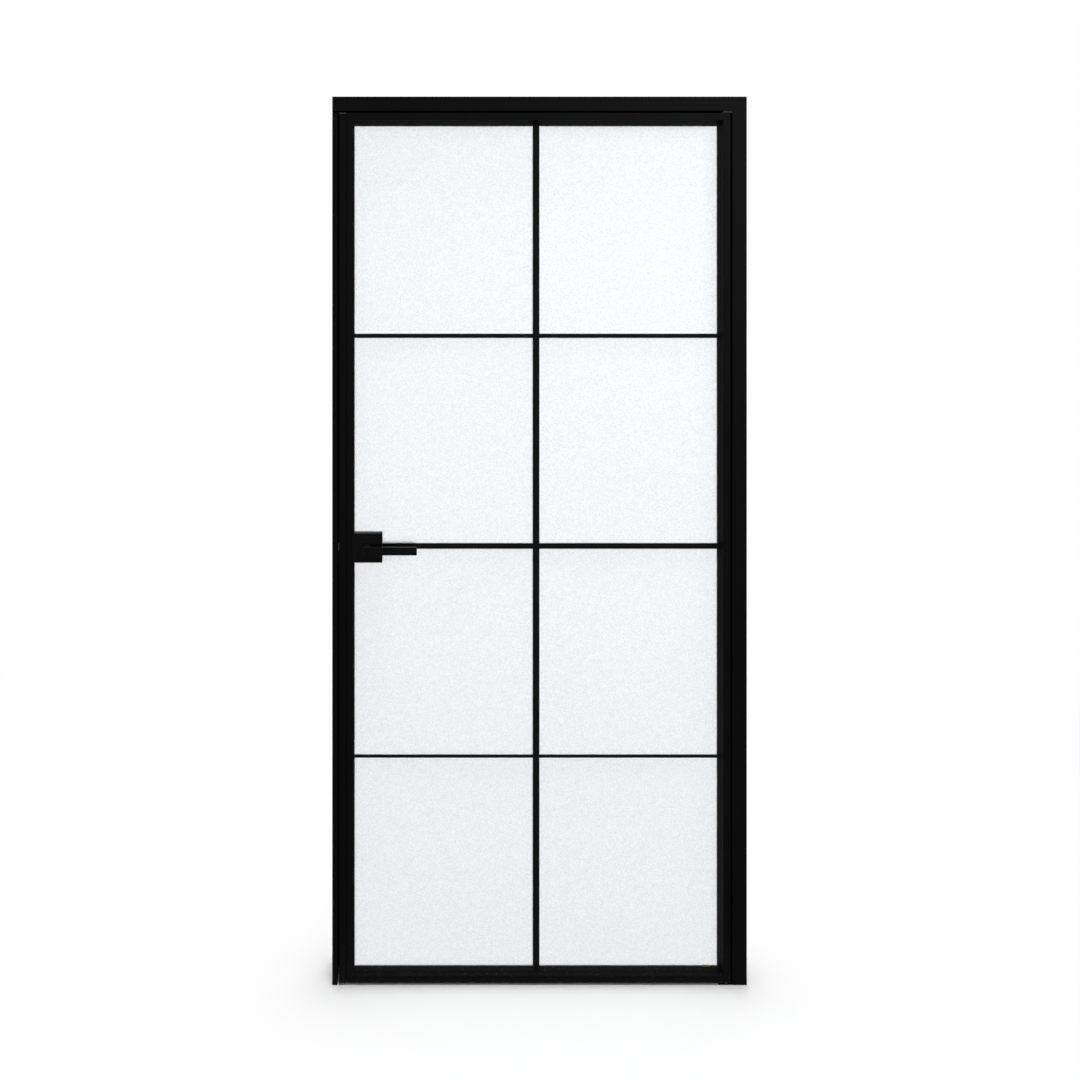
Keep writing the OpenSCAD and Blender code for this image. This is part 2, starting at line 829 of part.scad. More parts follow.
// Left and right bar of one row, counted from the bottom
module row_bars(row, span) {
    z = sight_z0 + row * row_pitch;
    w = row_widths[row - 1];
    color(coat) {
        across(row_x0(row), post_x - post_w / 2 - push_clear) translate([z, 0]) bar_section(w, span);
        across(post_x + post_w / 2 + push_clear, sight_x1 - push_clear)
            translate([z, 0]) bar_section(w, span);
    }
}

module front_bar_vertical() { post_bar(front_span); }

module front_bar_row_1() { row_bars(1, front_span); }

module front_bar_row_2() { row_bars(2, front_span); }

module front_bar_row_3() { row_bars(3, front_span); }

module rear_bar_vertical() { post_bar(rear_span); }

module rear_bar_row_1() { row_bars(1, rear_span); }

module rear_bar_row_2() { row_bars(2, rear_span); }

module rear_bar_row_3() { row_bars(3, rear_span); }

// Bonding tapes behind all the bars, on both faces of the glass
module bar_tapes() {
    post_half = post_w / 2 - edge_r;
    color(rubber) for (y = [glass_y0 - tape_t, glass_y1]) {
        block([post_x - post_half, y, sight_z0 + over], [post_x + post_half, y + tape_t, sight_z1 - over]);
        for (row = [1 : panes_high - 1]) {
            z = sight_z0 + row * row_pitch;
            row_half = row_widths[row - 1] / 2 - edge_r;
            block([row_x0(row) + over, y, z - row_half], [post_x - post_w / 2, y + tape_t, z + row_half]);
            block([post_x + post_w / 2, y, z - row_half], [sight_x1 - over, y + tape_t, z + row_half]);
        }
    }
}

// Hollow lock case that reaches from the leaf's edge to the handle
module lock_case() {
    color(coat) difference() {
        block([case_x0, -case_y, mid_z - case_half], [case_x1, case_y, mid_z + case_half]);
        block([case_x0 + case_wall, -case_y + case_wall, mid_z - case_half + case_wall],
              [case_x1 - case_wall, case_y - case_wall, mid_z + case_half - case_wall]);
        latch_way(case_x0 - over, case_x0 + case_wall + over, latch_way_clear);
        rod_y([handle_x, -case_y - over, mid_z], hub_r + run_clear, 2 * (case_y + over));
        for (s = [-1, 1])
            rod_y([handle_x, -case_y - over, mid_z + s * cover_screw_z],
                  screw_r + push_clear, 2 * (case_y + over));
    }
}

// Front lock cover: plate on the lock stile, skirt down to the glass and two bosses on the lock case;
// glass_y is the face of the glass that the skirt stands over
module lock_cover(glass_y) {
    plate_y = front_y - cover_t;
    skirt_x0 = sight_x0 + skirt_gap;
    p0 = [cover_x0, mid_z - cover_half];
    p1 = [cover_x1, mid_z + cover_half];
    inset = [cover_edge, cover_edge];
    difference() {
        union() {
            hull() {
                through(plate_y, front_y) polygon(round_box(p0 + inset, p1 - inset, edge_r));
                through(plate_y + cover_edge, front_y) polygon(round_box(p0, p1, edge_r));
            }
            through(front_y, glass_y - skirt_gap) difference() {
                rect([skirt_x0, p0[1]], p1);
                rect([skirt_x0 - over, p0[1] + cover_wall], p1 - [cover_wall, cover_wall]);
            }
            for (s = [-1, 1])
                rod_y([handle_x, plate_y + cover_edge, mid_z + s * cover_screw_z], boss_r,
                      -case_y - plate_y - cover_edge);
        }
        rod_y([handle_x, plate_y - over, mid_z], neck_r + turn_clear, cover_t + 2 * over);
    }
}

module front_lock_cover() {
    color(coat) difference() {
        lock_cover(glass_y0);
        for (s = [-1, 1])
            rod_y([handle_x, front_y - over, mid_z + s * cover_screw_z], screw_r + run_clear, -front_y);
    }
}

module rear_lock_cover() {
    color(coat) difference() {
        mirror([0, 1, 0]) lock_cover(-glass_y1);
        for (s = [-1, 1]) {
            rod_y([handle_x, 0, mid_z + s * cover_screw_z], screw_r + run_clear, rear_y + cover_t + over);
            rod_y([handle_x, rear_y + cover_t - cover_head_t, mid_z + s * cover_screw_z],
                  cover_head_r + run_clear, cover_head_t + over);
        }
    }
}

module cover_screws() {
    head_y = rear_y + cover_t - cover_head_t;
    color(steel) for (s = [-1, 1]) {
        rod_y([handle_x, front_y, mid_z + s * cover_screw_z], screw_r, head_y - front_y);
        rod_y([handle_x, head_y, mid_z + s * cover_screw_z], cover_head_r, cover_head_t);
    }
}

// Latch bolt with a bevelled nose and a forked tail, whose hook the hub's arm draws back
module latch_bolt() {
    y0 = -latch_t / 2;
    y1 = latch_t / 2;
    color(steel) difference() {
        union() {
            upright(mid_z - latch_h / 2, mid_z + latch_h / 2)
                polygon([[latch_tip_x, y0], [body_x1, y0], [body_x1, y1], [leaf_x0 - edge_plate_t, y1],
                         [latch_tip_x, y0 + edge_plate_t]]);
            block([body_x1 - riser_w, -tail_half, mid_z], [body_x1, tail_half, mid_z + arm_r]);
            block([body_x1 - riser_w, -tail_half, mid_z + tail_z0], [hook_x1, tail_half, mid_z + arm_r]);
        }
        block([body_x1, -arm_half - loose_clear, mid_z + tail_z0 - over],
              [hook_x0, arm_half + loose_clear, mid_z + arm_r + over]);
    }
}

// Hub that turns in the lock case, with the arm that draws the latch
module hub() {
    square_half = spindle_w / 2 + spindle_clear;
    color(steel) difference() {
        union() {
            rod_y([handle_x, -hub_half, mid_z], hub_r, 2 * hub_half);
            block([handle_x - arm_w / 2, -arm_half, mid_z], [handle_x + arm_w / 2, arm_half, mid_z + arm_r]);
        }
        block([handle_x - square_half, -hub_half - over, mid_z - square_half],
              [handle_x + square_half, hub_half + over, mid_z + square_half]);
    }
}

// Front lever: round neck, flat straight grip and a sunk hole for its screw
module lever() {
    x0 = handle_x - lever_tail;
    x1 = x0 + lever_len;
    y1 = lever_y + lever_t;
    socket_half = spindle_w / 2 + spindle_clear;
    difference() {
        union() {
            upright(mid_z - lever_h / 2, mid_z + lever_h / 2)
                polygon(concat(
                    arc([x0 + lever_bend, lever_y + lever_bend], lever_bend, 180),
                    arc([x1 - lever_round, lever_y + lever_round], lever_round, 270),
                    arc([x1 - lever_round, y1 - lever_round], lever_round, 0),
                    [[x0, y1]]
                ));
            rod_y([handle_x, y1 - over, mid_z], neck_r, neck_y1 - y1 + over);
        }
        block([handle_x - socket_half, -spindle_half - push_clear, mid_z - socket_half],
              [handle_x + socket_half, neck_y1 + over, mid_z + socket_half]);
        rod_y([handle_x, lever_y, mid_z], screw_r + push_clear, lever_t + spindle_short);
        rod_y([handle_x, lever_y - over, mid_z], lever_head_r + push_clear,
              over + lever_head_sink + lever_head_t);
    }
}

module front_lever() {
    color(coat) lever();
}

module rear_lever() {
    color(coat) mirror([0, 1, 0]) lever();
}

module spindle() {
    half = spindle_w / 2;
    bore = spindle_bite + push_clear;
    color(steel) difference() {
        block([handle_x - half, -spindle_half, mid_z - half], [handle_x + half, spindle_half, mid_z + half]);
        for (y = [-spindle_half - over, spindle_half - bore])
            rod_y([handle_x, y, mid_z], screw_r + run_clear, bore + over);
    }
}

// Screw from the front lever's face into the end of the spindle
module lever_screw() {
    head_y = lever_y + lever_head_sink;
    rod_y([handle_x, head_y, mid_z], lever_head_r, lever_head_t);
    rod_y([handle_x, head_y, mid_z], screw_r, -spindle_half + spindle_bite - head_y);
}

module lever_screws() {
    color(steel) {
        lever_screw();
        mirror([0, 1, 0]) lever_screw();
    }
}

frame_head();
hinge_jamb();
strike_jamb();
head_end_cap();
frame_corner_cleat();
strike_jamb_spigot();
head_stop();
hinge_stop();
strike_stop();
head_seal();
hinge_seal();
strike_seal();
strike_plate();
strike_screws();
top_pivot_pin();
top_pivot_plate();
pivot_foot_plate();
bottom_pivot_pin();
bottom_pivot_washer();
closing_profile();
closing_profile_caps();
lock_stile();
hinge_stile();
top_rail();
bottom_rail();
lock_corner_cleats();
top_pivot_block();
bottom_pivot_block();
brush_seal();
glass_pane();
front_glazing_gaskets();
rear_glazing_gaskets();
setting_blocks();
glazing_packer();
glazing_bead_lock();
glazing_bead_hinge();
glazing_bead_top();
glazing_bead_bottom();
front_bar_vertical();
front_bar_row_1();
front_bar_row_2();
front_bar_row_3();
rear_bar_vertical();
rear_bar_row_1();
rear_bar_row_2();
rear_bar_row_3();
bar_tapes();
front_lock_cover();
rear_lock_cover();
cover_screws();
lock_case();
forend();
forend_screws();
front_lever();
rear_lever();
spindle();
hub();
lever_screws();
latch_bolt();
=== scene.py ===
"""Looks of a glass door in its slim black frame: coats, satin glass, screws, bristles and a stage."""

import math

import bmesh
import bpy
from bpy.props import FloatProperty, FloatVectorProperty, IntProperty, PointerProperty
from bpy.types import Operator, Panel, PropertyGroup
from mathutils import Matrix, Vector


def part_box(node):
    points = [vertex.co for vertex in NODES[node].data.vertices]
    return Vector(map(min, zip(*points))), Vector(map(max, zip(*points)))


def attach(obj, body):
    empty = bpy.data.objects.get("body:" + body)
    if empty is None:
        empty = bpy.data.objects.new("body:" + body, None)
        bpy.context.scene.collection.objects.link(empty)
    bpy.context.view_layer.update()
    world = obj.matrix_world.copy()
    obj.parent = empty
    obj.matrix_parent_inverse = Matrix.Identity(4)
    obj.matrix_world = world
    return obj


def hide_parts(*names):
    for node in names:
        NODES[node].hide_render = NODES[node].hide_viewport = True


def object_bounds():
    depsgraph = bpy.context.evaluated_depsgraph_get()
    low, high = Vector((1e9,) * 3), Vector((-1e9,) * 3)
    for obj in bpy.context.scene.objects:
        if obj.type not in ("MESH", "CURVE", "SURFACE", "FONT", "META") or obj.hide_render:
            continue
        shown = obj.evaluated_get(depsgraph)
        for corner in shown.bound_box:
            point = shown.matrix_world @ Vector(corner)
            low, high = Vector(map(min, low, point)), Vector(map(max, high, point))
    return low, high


bl_info = {
    "name": "Glass Door Finish",
    "version": (1, 0, 0),
    "blender": (4, 5, 0),
    "location": "3D View > Sidebar > Glass Door",
    "description": "Gives a framed glass door its finishes, small fasteners, bristles and stage",
    "category": "Object",
}

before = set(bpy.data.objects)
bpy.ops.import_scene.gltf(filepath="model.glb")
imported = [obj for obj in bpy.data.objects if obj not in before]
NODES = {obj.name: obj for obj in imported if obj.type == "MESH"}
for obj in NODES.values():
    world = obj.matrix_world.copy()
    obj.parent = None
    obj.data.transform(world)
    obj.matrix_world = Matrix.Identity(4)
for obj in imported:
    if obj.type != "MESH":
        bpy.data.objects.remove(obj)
CAD_BOX = [list(corner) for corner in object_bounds()]
DOOR_MIDDLE = (Vector(CAD_BOX[0]) + Vector(CAD_BOX[1])) / 2
HEAD_LOW, HEAD_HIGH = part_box("frame_head")
FRAME_DEPTH = HEAD_HIGH[1] - HEAD_LOW[1]

# Pieces that share a finish
FRAME_COATED = (
    "frame_head", "hinge_jamb", "strike_jamb", "head_stop", "hinge_stop", "strike_stop",
)
LEAF_COATED = (
    "closing_profile", "lock_stile", "hinge_stile", "top_rail", "bottom_rail",
    "glazing_bead_lock", "glazing_bead_hinge", "glazing_bead_top", "glazing_bead_bottom",
)
BARS = (
    "front_bar_vertical", "front_bar_row_1", "front_bar_row_2", "front_bar_row_3",
    "rear_bar_vertical", "rear_bar_row_1", "rear_bar_row_2", "rear_bar_row_3",
)
HANDLES = ("front_lever", "rear_lever", "front_lock_cover", "rear_lock_cover")
LOCK = ("lock_case", "forend", "strike_plate")
RUBBER = (
    "head_seal", "hinge_seal", "strike_seal", "front_glazing_gaskets", "rear_glazing_gaskets",
    "bar_tapes",
)
PLASTIC = ("head_end_cap", "closing_profile_caps", "setting_blocks")
STEEL = ("latch_bolt", "hub", "spindle", "top_pivot_pin", "bottom_pivot_pin", "bottom_pivot_washer")
DARK_STEEL = ("top_pivot_plate", "pivot_foot_plate")
MILL = (
    "frame_corner_cleat", "strike_jamb_spigot", "lock_corner_cleats", "top_pivot_block",
    "bottom_pivot_block",
)

# Black coats: dust on each, with a painted highlight from above on faces that look up; shine; and how the
# bars' and levers' coats depart from the leaf's, the bars' lighter coat being a painted sheen
FRAME_DUST_AND_TOP_LIGHT = 0.12
LEAF_DUST_AND_TOP_LIGHT = 0.42
BAR_DUST_AND_TOP_LIGHT = 0.05
HANDLE_DUST_AND_TOP_LIGHT = 0.06
COAT_SPECULAR = 0.015
# The bars' coat is painted lighter than the leaf's: a painted sheen for the light they catch
BAR_PAINTED_SHEEN = 1.7
BAR_ROUGHER = 0.05
HANDLE_ROUGHNESS = 0.4

# Darkest and lightest tone of each finish, as parts of its colour
COAT_TONES = (0.75, 1.3)
METAL_TONES = (0.8, 1.12)
SOFT_TONES = (0.7, 1.4)
GLASS_TONES = (0.82, 1.0)

# Metals: fineness of the lines, and the other metals' colours as parts of the bare steel's
BRUSHED_LINES = 1400.0
SAWN_LINES = 500.0
DARK_SHADE = 0.02
BLACKENED_SHADE = 0.02
ALUMINIUM_SHADE = 0.92

# Glass: part of the light that goes through, and how strongly it bends
GLASS_CLEAR = 0.12
GLASS_IOR = 1.5

# Softened edges: reach of the weld, steps of the rounding, and the angle from which an edge is sharp
WELD_REACH = 1e-5
ROUND_STEPS = 2
SHARP_ANGLE = math.radians(50)

# Screws: sides of the round forms and the socket, rim and socket depth as parts of the head's height
SCREW_SIDES = 24
SOCKET_SIDES = 6
RIM_PART = 0.25
SOCKET_DEPTH = 0.75
SCREWS_IN_ROW = 2

# Brush: form and seed of the bristles, width of their band, and what the band lacks at its ends
BRISTLE_SIDES = 4
BRISTLE_SEED = 7
BRISTLE_BAND = 0.0026
BAND_SHORT = 0.001
# Heights over the underside of the bottom rail
ROOT_UNDERSIDE = 0.001
BRISTLE_TOP = 0.0012

# Floor: sides of the disc, where it starts to fade, where it has gone as a part of its radius, its shine
FLOOR_SIDES = 64
FADE_START = 0.9
FADE_END = 0.95
FLOOR_ROUGHNESS = 0.9
FLOOR_SPECULAR = 0.1
# The way past the door's foot over which the floor turns white, and the power of that curve
FOOT_WAY = 0.2
FOOT_POWER = 0.5

# Lamps: spread of the parallel lights, then the place and size of each square lamp
LEVEL_SPREAD = math.radians(8)
TOP_SPREAD = math.radians(30)
KEY_PLACE = Vector((0.4, -2.4, 1.7))
KEY_TARGET = Vector((0.4, 0, 1.7))
KEY_SIZE = 0.5
CARD_PLACE = Vector((2.0, -2.6, 3.2))
CARD_SIZE = 1.8
BACK_PLACE = Vector((1.9, 2.4, 3.6))
BACK_SIZE = 2.2

# Heights between which the surroundings brighten in reflections, and the width of the camera's sensor
GLOSS_RISE = (-0.1, 0.5)
SENSOR_WIDTH = 36.0


class DoorFinish(PropertyGroup):
    """Colours and gloss of the door's finishes."""

    coat_color: FloatVectorProperty(
        name="Coat", description="Colour of the black powder coat", subtype="COLOR", size=3,
        default=(0.0031, 0.0031, 0.0033), min=0, max=1)
    coat_roughness: FloatProperty(
        name="Coat Roughness", description="Middle roughness of the powder coat", subtype="FACTOR",
        default=0.5, min=0, max=1)
    handle_color: FloatVectorProperty(
        name="Handle", description="Colour of the levers and lock covers", subtype="COLOR", size=3,
        default=(0.0044, 0.0043, 0.0044), min=0, max=1)
    glass_color: FloatVectorProperty(
        name="Glass", description="Tint of the satin glass", subtype="COLOR", size=3,
        default=(0.958, 0.981, 1.0), min=0, max=1)
    glass_roughness: FloatProperty(
        name="Glass Satin", description="Middle roughness of the satin glass", subtype="FACTOR",
        default=0.6, min=0, max=1)
    steel_color: FloatVectorProperty(
        name="Steel", description="Colour of the steel fittings", subtype="COLOR", size=3,
        default=(0.56, 0.56, 0.55), min=0, max=1)
    rubber_color: FloatVectorProperty(
        name="Rubber", description="Colour of seals and gaskets", subtype="COLOR", size=3,
        default=(0.006, 0.006, 0.006), min=0, max=1)
    packer_color: FloatVectorProperty(
        name="Packer", description="Colour of the small glazing packer", subtype="COLOR", size=3,
        default=(0.20, 0.145, 0.07), min=0, max=1)
    # Colour both of the dust specks and of the faint film that paints a highlight of light from above on
    # faces that look up
    dust_and_top_light_color: FloatVectorProperty(
        name="Dust", description="Colour of the dust on level and low faces", subtype="COLOR", size=3,
        default=(0.16, 0.15, 0.14), min=0, max=1)
    edge_round: FloatProperty(
        name="Edge Rounding", description="Softening of the levers' and covers' edges", unit="LENGTH",
        default=0.0007, min=0, max=0.002)
    mitre_round: FloatProperty(
        name="Mitre Rounding", description="Softening of the cut ends that meet at the mitres",
        unit="LENGTH", default=0.0004, min=0, max=0.001)


class DoorFittings(PropertyGroup):
    """Sizes of the screws and the brush."""

    cover_head_radius: FloatProperty(
        name="Cover Screw Head", description="Head radius of the cover screws", unit="LENGTH",
        default=0.0036)
    cover_head_height: FloatProperty(
        name="Cover Screw Head Height", description="Head height of the cover screws", unit="LENGTH",
        default=0.002)
    edge_head_radius: FloatProperty(
        name="Edge Screw Head", description="Head radius of the forend and strike screws",
        unit="LENGTH", default=0.0032)
    edge_head_height: FloatProperty(
        name="Edge Screw Head Height", description="Head height of the forend and strike screws",
        unit="LENGTH", default=0.001)
    lever_head_radius: FloatProperty(
        name="Lever Screw Head", description="Head radius of the lever screws", unit="LENGTH",
        default=0.0042)
    lever_head_height: FloatProperty(
        name="Lever Screw Head Height", description="Head height of the lever screws", unit="LENGTH",
        default=0.003)
    lever_bite: FloatProperty(
        name="Lever Screw Bite", description="Reach of the lever screws into the spindle",
        unit="LENGTH", default=0.008)
    shank_radius: FloatProperty(
        name="Shank", description="Radius of the screws' shanks", unit="LENGTH", default=0.002)
    socket_part: FloatProperty(
        name="Socket", description="Corner radius of the sockets, as a part of the head's radius",
        subtype="FACTOR", default=0.5, min=0.2, max=0.8)
    bristle_pitch: FloatProperty(
        name="Bristle Pitch", description="Distance between bristles along the brush", unit="LENGTH",
        default=0.0009, min=0.0003)
    bristle_rows: IntProperty(
        name="Bristle Rows", description="Rows of bristles across the brush", default=4, min=1, max=8)
    bristle_radius: FloatProperty(
        name="Bristle Radius", description="Radius of a bristle", unit="LENGTH", default=0.00022)
    bristle_lean: FloatProperty(
        name="Bristle Lean", description="Largest random lean of a bristle", subtype="ANGLE",
        unit="ROTATION", default=math.radians(5))


class DoorStage(PropertyGroup):
    """Camera, floor and lamps."""

    eye: FloatVectorProperty(
        name="Eye", description="Place of the camera", subtype="TRANSLATION", unit="LENGTH", size=3,
        default=(-0.355, -1.694, 1.290))
    lens: FloatProperty(
        name="Lens", description="Focal length on a 36 mm sensor, in millimetres", default=23.5)
    shift: FloatVectorProperty(
        name="Shift", description="Lens shift across and up", size=2, default=(0.1395, -0.0933))
    floor_color: FloatVectorProperty(
        name="Floor", description="Colour of the pale floor", subtype="COLOR", size=3,
        default=(0.9, 0.9, 0.9), min=0, max=1)
    floor_white: FloatProperty(
        name="Floor White", description="Part of the floor that the camera sees as plain white",
        subtype="FACTOR", default=0.75, min=0, max=1)
    floor_radius: FloatProperty(
        name="Floor Radius", description="Radius of the floor, which fades out towards it",
        unit="LENGTH", default=4.0)
    fill_light: FloatProperty(
        name="Fill Light", description="Level of the even light all round", default=0.08, min=0)
    front_light: FloatProperty(
        name="Front Light", description="Level of the plain light from the front", default=0.87, min=0)
    rear_light: FloatProperty(
        name="Rear Light", description="Level of the plain light from behind", default=0.86, min=0)
    side_light: FloatProperty(
        name="Side Light", description="Level of the plain light from either side", default=0.6, min=0)
    top_light: FloatProperty(
        name="Top Light", description="Level of the soft light from above", default=0.92, min=0)
    gloss_low: FloatProperty(
        name="Low Gloss", description="Level of the surroundings in reflections, low down",
        default=0.08, min=0)
    gloss_high: FloatProperty(
        name="High Gloss", description="Level of the surroundings in reflections, high up",
        default=1.9, min=0)
    key_power: FloatProperty(
        name="Key Lamp", description="Power of the lamp in front of the upper right panes",
        unit="POWER", default=10, min=0)
    card_power: FloatProperty(
        name="Gloss Card", description="Power of the card at the upper right that shows in reflections",
        unit="POWER", default=80, min=0)
    back_power: FloatProperty(
        name="Back Lamp", description="Power of the lamp behind the door", unit="POWER", default=16,
        min=0)


# Shader helpers


def wire(tree, source, target):
    """Joins an output to an input, each given as (node, socket's name or number)."""
    tree.links.new(source[0].outputs[source[1]], target[0].inputs[target[1]])


def add_node(tree, kind, **values):
    """Adds a node; values that name a property set it, and the others set inputs."""
    node = tree.nodes.new(kind)
    for name, value in values.items():
        if hasattr(node, name):
            setattr(node, name, value)
        else:
            node.inputs[name.replace("_", " ")].default_value = value
    return node


def map_range(tree, source, span, result):
    """Maps a value from one range to another, each given as (start, end)."""
    node = add_node(tree, "ShaderNodeMapRange", From_Min=span[0], From_Max=span[1],
                    To_Min=result[0], To_Max=result[1])
    wire(tree, source, (node, "Value"))
    return node


def combine(tree, operation, *terms):
    """Joins terms by a Math operation; each is an output, as (node, socket), or a plain number."""
    node = add_node(tree, "ShaderNodeMath", operation=operation)
    for socket, term in zip(node.inputs, terms):
        if isinstance(term, tuple):
            tree.links.new(term[0].outputs[term[1]], socket)
        else:
            socket.default_value = term
    return node


def new_group(name, inputs, outputs):
    """Starts a shader node group with named float inputs and outputs."""
    tree = bpy.data.node_groups.new(name, "ShaderNodeTree")
    for label, default in inputs:
        socket = tree.interface.new_socket(name=label, in_out="INPUT", socket_type="NodeSocketFloat")
        socket.default_value = default
    for label in outputs:
        tree.interface.new_socket(name=label, in_out="OUTPUT", socket_type="NodeSocketFloat")
    return tree, tree.nodes.new("NodeGroupInput"), tree.nodes.new("NodeGroupOutput")


def coat_grain_group():
    """Fine orange peel of a powder coat: a slow tone, a roughness and a height."""
    tree, given, out = new_group(
        "coat_grain",
        (("Grain Scale", 900.0), ("Tone Scale", 6.0), ("Roughness", 0.45), ("Spread", 0.16)),
        ("Tone", "Roughness", "Height"))
    noise_middle = 0.5
    coords = tree.nodes.new("ShaderNodeTexCoord")
    grain = add_node(tree, "ShaderNodeTexNoise", Detail=3.0)
    tone = add_node(tree, "ShaderNodeTexNoise", Detail=4.0)
    for noise, scale in ((grain, "Grain Scale"), (tone, "Tone Scale")):
        wire(tree, (coords, "Object"), (noise, "Vector"))
        wire(tree, (given, scale), (noise, "Scale"))
    centred = combine(tree, "SUBTRACT", (tone, "Fac"), noise_middle)
    rough = combine(tree, "MULTIPLY_ADD", (centred, "Value"), (given, "Spread"), (given, "Roughness"))
    wire(tree, (tone, "Fac"), (out, "Tone"))
    wire(tree, (rough, "Value"), (out, "Roughness"))
    wire(tree, (grain, "Fac"), (out, "Height"))
    return tree


def dust_top_light_group():
    """Specks and a faint film of dust on faces that look up and, less, on faces near the floor; on faces
    that look up the film is also a painted highlight of light from above.
    """
    tree, given, out = new_group("dust_top_light", (("Amount", 0.5), ("Speck Scale", 260.0)), ("Mask",))
    level_slope = (0.7, 0.98)
    speck_rim = (0.65, 0.74)
    # The lower end is the faint film: partly dust and, on faces that look up, partly a painted highlight
    # of light from above
    film_to_speck = (0.03, 1.0)
    low_reach = (0.0, 0.1)
    low_share = (0.5, 0.0)
    coords = tree.nodes.new("ShaderNodeTexCoord")
    normal = tree.nodes.new("ShaderNodeNewGeometry")
    slope = tree.nodes.new("ShaderNodeSeparateXYZ")
    wire(tree, (normal, "Normal"), (slope, "Vector"))
    upward = map_range(tree, (slope, "Z"), level_slope, (0.0, 1.0))
    specks = add_node(tree, "ShaderNodeTexNoise", Detail=2.0)
    wire(tree, (coords, "Object"), (specks, "Vector"))
    wire(tree, (given, "Speck Scale"), (specks, "Scale"))
    spots = map_range(tree, (specks, "Fac"), speck_rim, film_to_speck)
    place = tree.nodes.new("ShaderNodeSeparateXYZ")
    wire(tree, (coords, "Object"), (place, "Vector"))
    low = map_range(tree, (place, "Z"), low_reach, low_share)
    where = combine(tree, "MAXIMUM", (upward, "Result"), (low, "Result"))
    spotted = combine(tree, "MULTIPLY", (where, "Value"), (spots, "Result"))
    mask = combine(tree, "MULTIPLY", (spotted, "Value"), (given, "Amount"))
    wire(tree, (mask, "Value"), (out, "Mask"))
    return tree


def brushed_group():
    """Fine lines of brushed or sawn metal along Z: a tone, a roughness and a height."""
    tree, given, out = new_group(
        "brushed_lines", (("Line Scale", BRUSHED_LINES), ("Roughness", 0.3)),
        ("Tone", "Roughness", "Height"))
    long_along_z = (1.0, 1.0, 0.03)
    line_roughness = 0.15
    coords = tree.nodes.new("ShaderNodeTexCoord")
    stretch = add_node(tree, "ShaderNodeMapping", Scale=long_along_z)
    lines = add_node(tree, "ShaderNodeTexNoise", Detail=4.0)
    wire(tree, (coords, "Object"), (stretch, "Vector"))
    wire(tree, (stretch, "Vector"), (lines, "Vector"))
    wire(tree, (given, "Line Scale"), (lines, "Scale"))
    rough = combine(tree, "MULTIPLY_ADD", (lines, "Fac"), line_roughness, (given, "Roughness"))
    wire(tree, (lines, "Fac"), (out, "Tone"))
    wire(tree, (rough, "Value"), (out, "Roughness"))
    wire(tree, (lines, "Fac"), (out, "Height"))
    return tree


def place_group(tree, name, maker, **values):
    """Places the shader group of that name, made once, with values of its own."""
    group = bpy.data.node_groups.get(name) or maker()
    return add_node(tree, "ShaderNodeGroup", node_tree=group, **values)


def start_material(name):
    """New material with its Principled shader; returns material, tree and shader."""
    material = bpy.data.materials.new(name)
    material.use_nodes = True
    tree = material.node_tree
    return material, tree, tree.nodes["Principled BSDF"]


def shade(color, factor):
    """A colour made lighter or darker."""
    return tuple(min(1.0, channel * factor) for channel in color)


def add_tone(tree, source, color, tones):
    """Mixes a darker and a lighter tone of a colour by a mask and returns the mix node."""
    dark, light = (shade(color, factor) for factor in tones)
    mix = add_node(tree, "ShaderNodeMix", data_type="RGBA", A=(*dark, 1), B=(*light, 1))
    wire(tree, source, (mix, "Factor"))
    return mix


def feed_shader(tree, shader, color, group, strength, distance):
    """Feeds a mixed colour and a group's roughness and height into the shader."""
    wire(tree, (color, "Result"), (shader, "Base Color"))
    wire(tree, (group, "Roughness"), (shader, "Roughness"))
    bump = add_node(tree, "ShaderNodeBump", Strength=strength, Distance=distance)
    wire(tree, (group, "Height"), (bump, "Height"))
    wire(tree, (bump, "Normal"), (shader, "Normal"))


def coat_material(name, color, roughness, dust, dust_and_top_light_color):
    """Satin black coat with fine orange peel, and dust on its level and low faces; the dust's faint film
    on level faces is also a painted highlight of light from above.
    """
    material, tree, shader = start_material(name)
    grain = place_group(tree, "coat_grain", coat_grain_group, Roughness=roughness)
    # The dust amount also sets the painted highlight from above on faces that look up
    film = place_group(tree, "dust_top_light", dust_top_light_group, Amount=dust)
    coat = add_tone(tree, (grain, "Tone"), color, COAT_TONES)
    dusted_and_lit = add_node(tree, "ShaderNodeMix", data_type="RGBA", B=(*dust_and_top_light_color, 1))
    wire(tree, (coat, "Result"), (dusted_and_lit, "A"))
    wire(tree, (film, "Mask"), (dusted_and_lit, "Factor"))
    feed_shader(tree, shader, dusted_and_lit, grain, strength=0.25, distance=0.00012)
    shader.inputs["Specular IOR Level"].default_value = COAT_SPECULAR
    return material


def metal_material(name, color, roughness, line_scale):
    """Brushed or sawn bare metal."""
    material, tree, shader = start_material(name)
    lines = place_group(tree, "brushed_lines", brushed_group, Roughness=roughness, Line_Scale=line_scale)
    tone = add_tone(tree, (lines, "Tone"), color, METAL_TONES)
    feed_shader(tree, shader, tone, lines, strength=0.2, distance=0.00005)
    shader.inputs["Metallic"].default_value = 1.0
    return material


def soft_material(name, color, roughness, grain_scale, specular):
    """Matt rubber, plastic or bristle with a fine grain."""
    material, tree, shader = start_material(name)
    grain = place_group(tree, "coat_grain", coat_grain_group, Roughness=roughness, Grain_Scale=grain_scale)
    tone = add_tone(tree, (grain, "Tone"), color, SOFT_TONES)
    feed_shader(tree, shader, tone, grain, strength=0.3, distance=0.0001)
    shader.inputs["Specular IOR Level"].default_value = specular
    return material


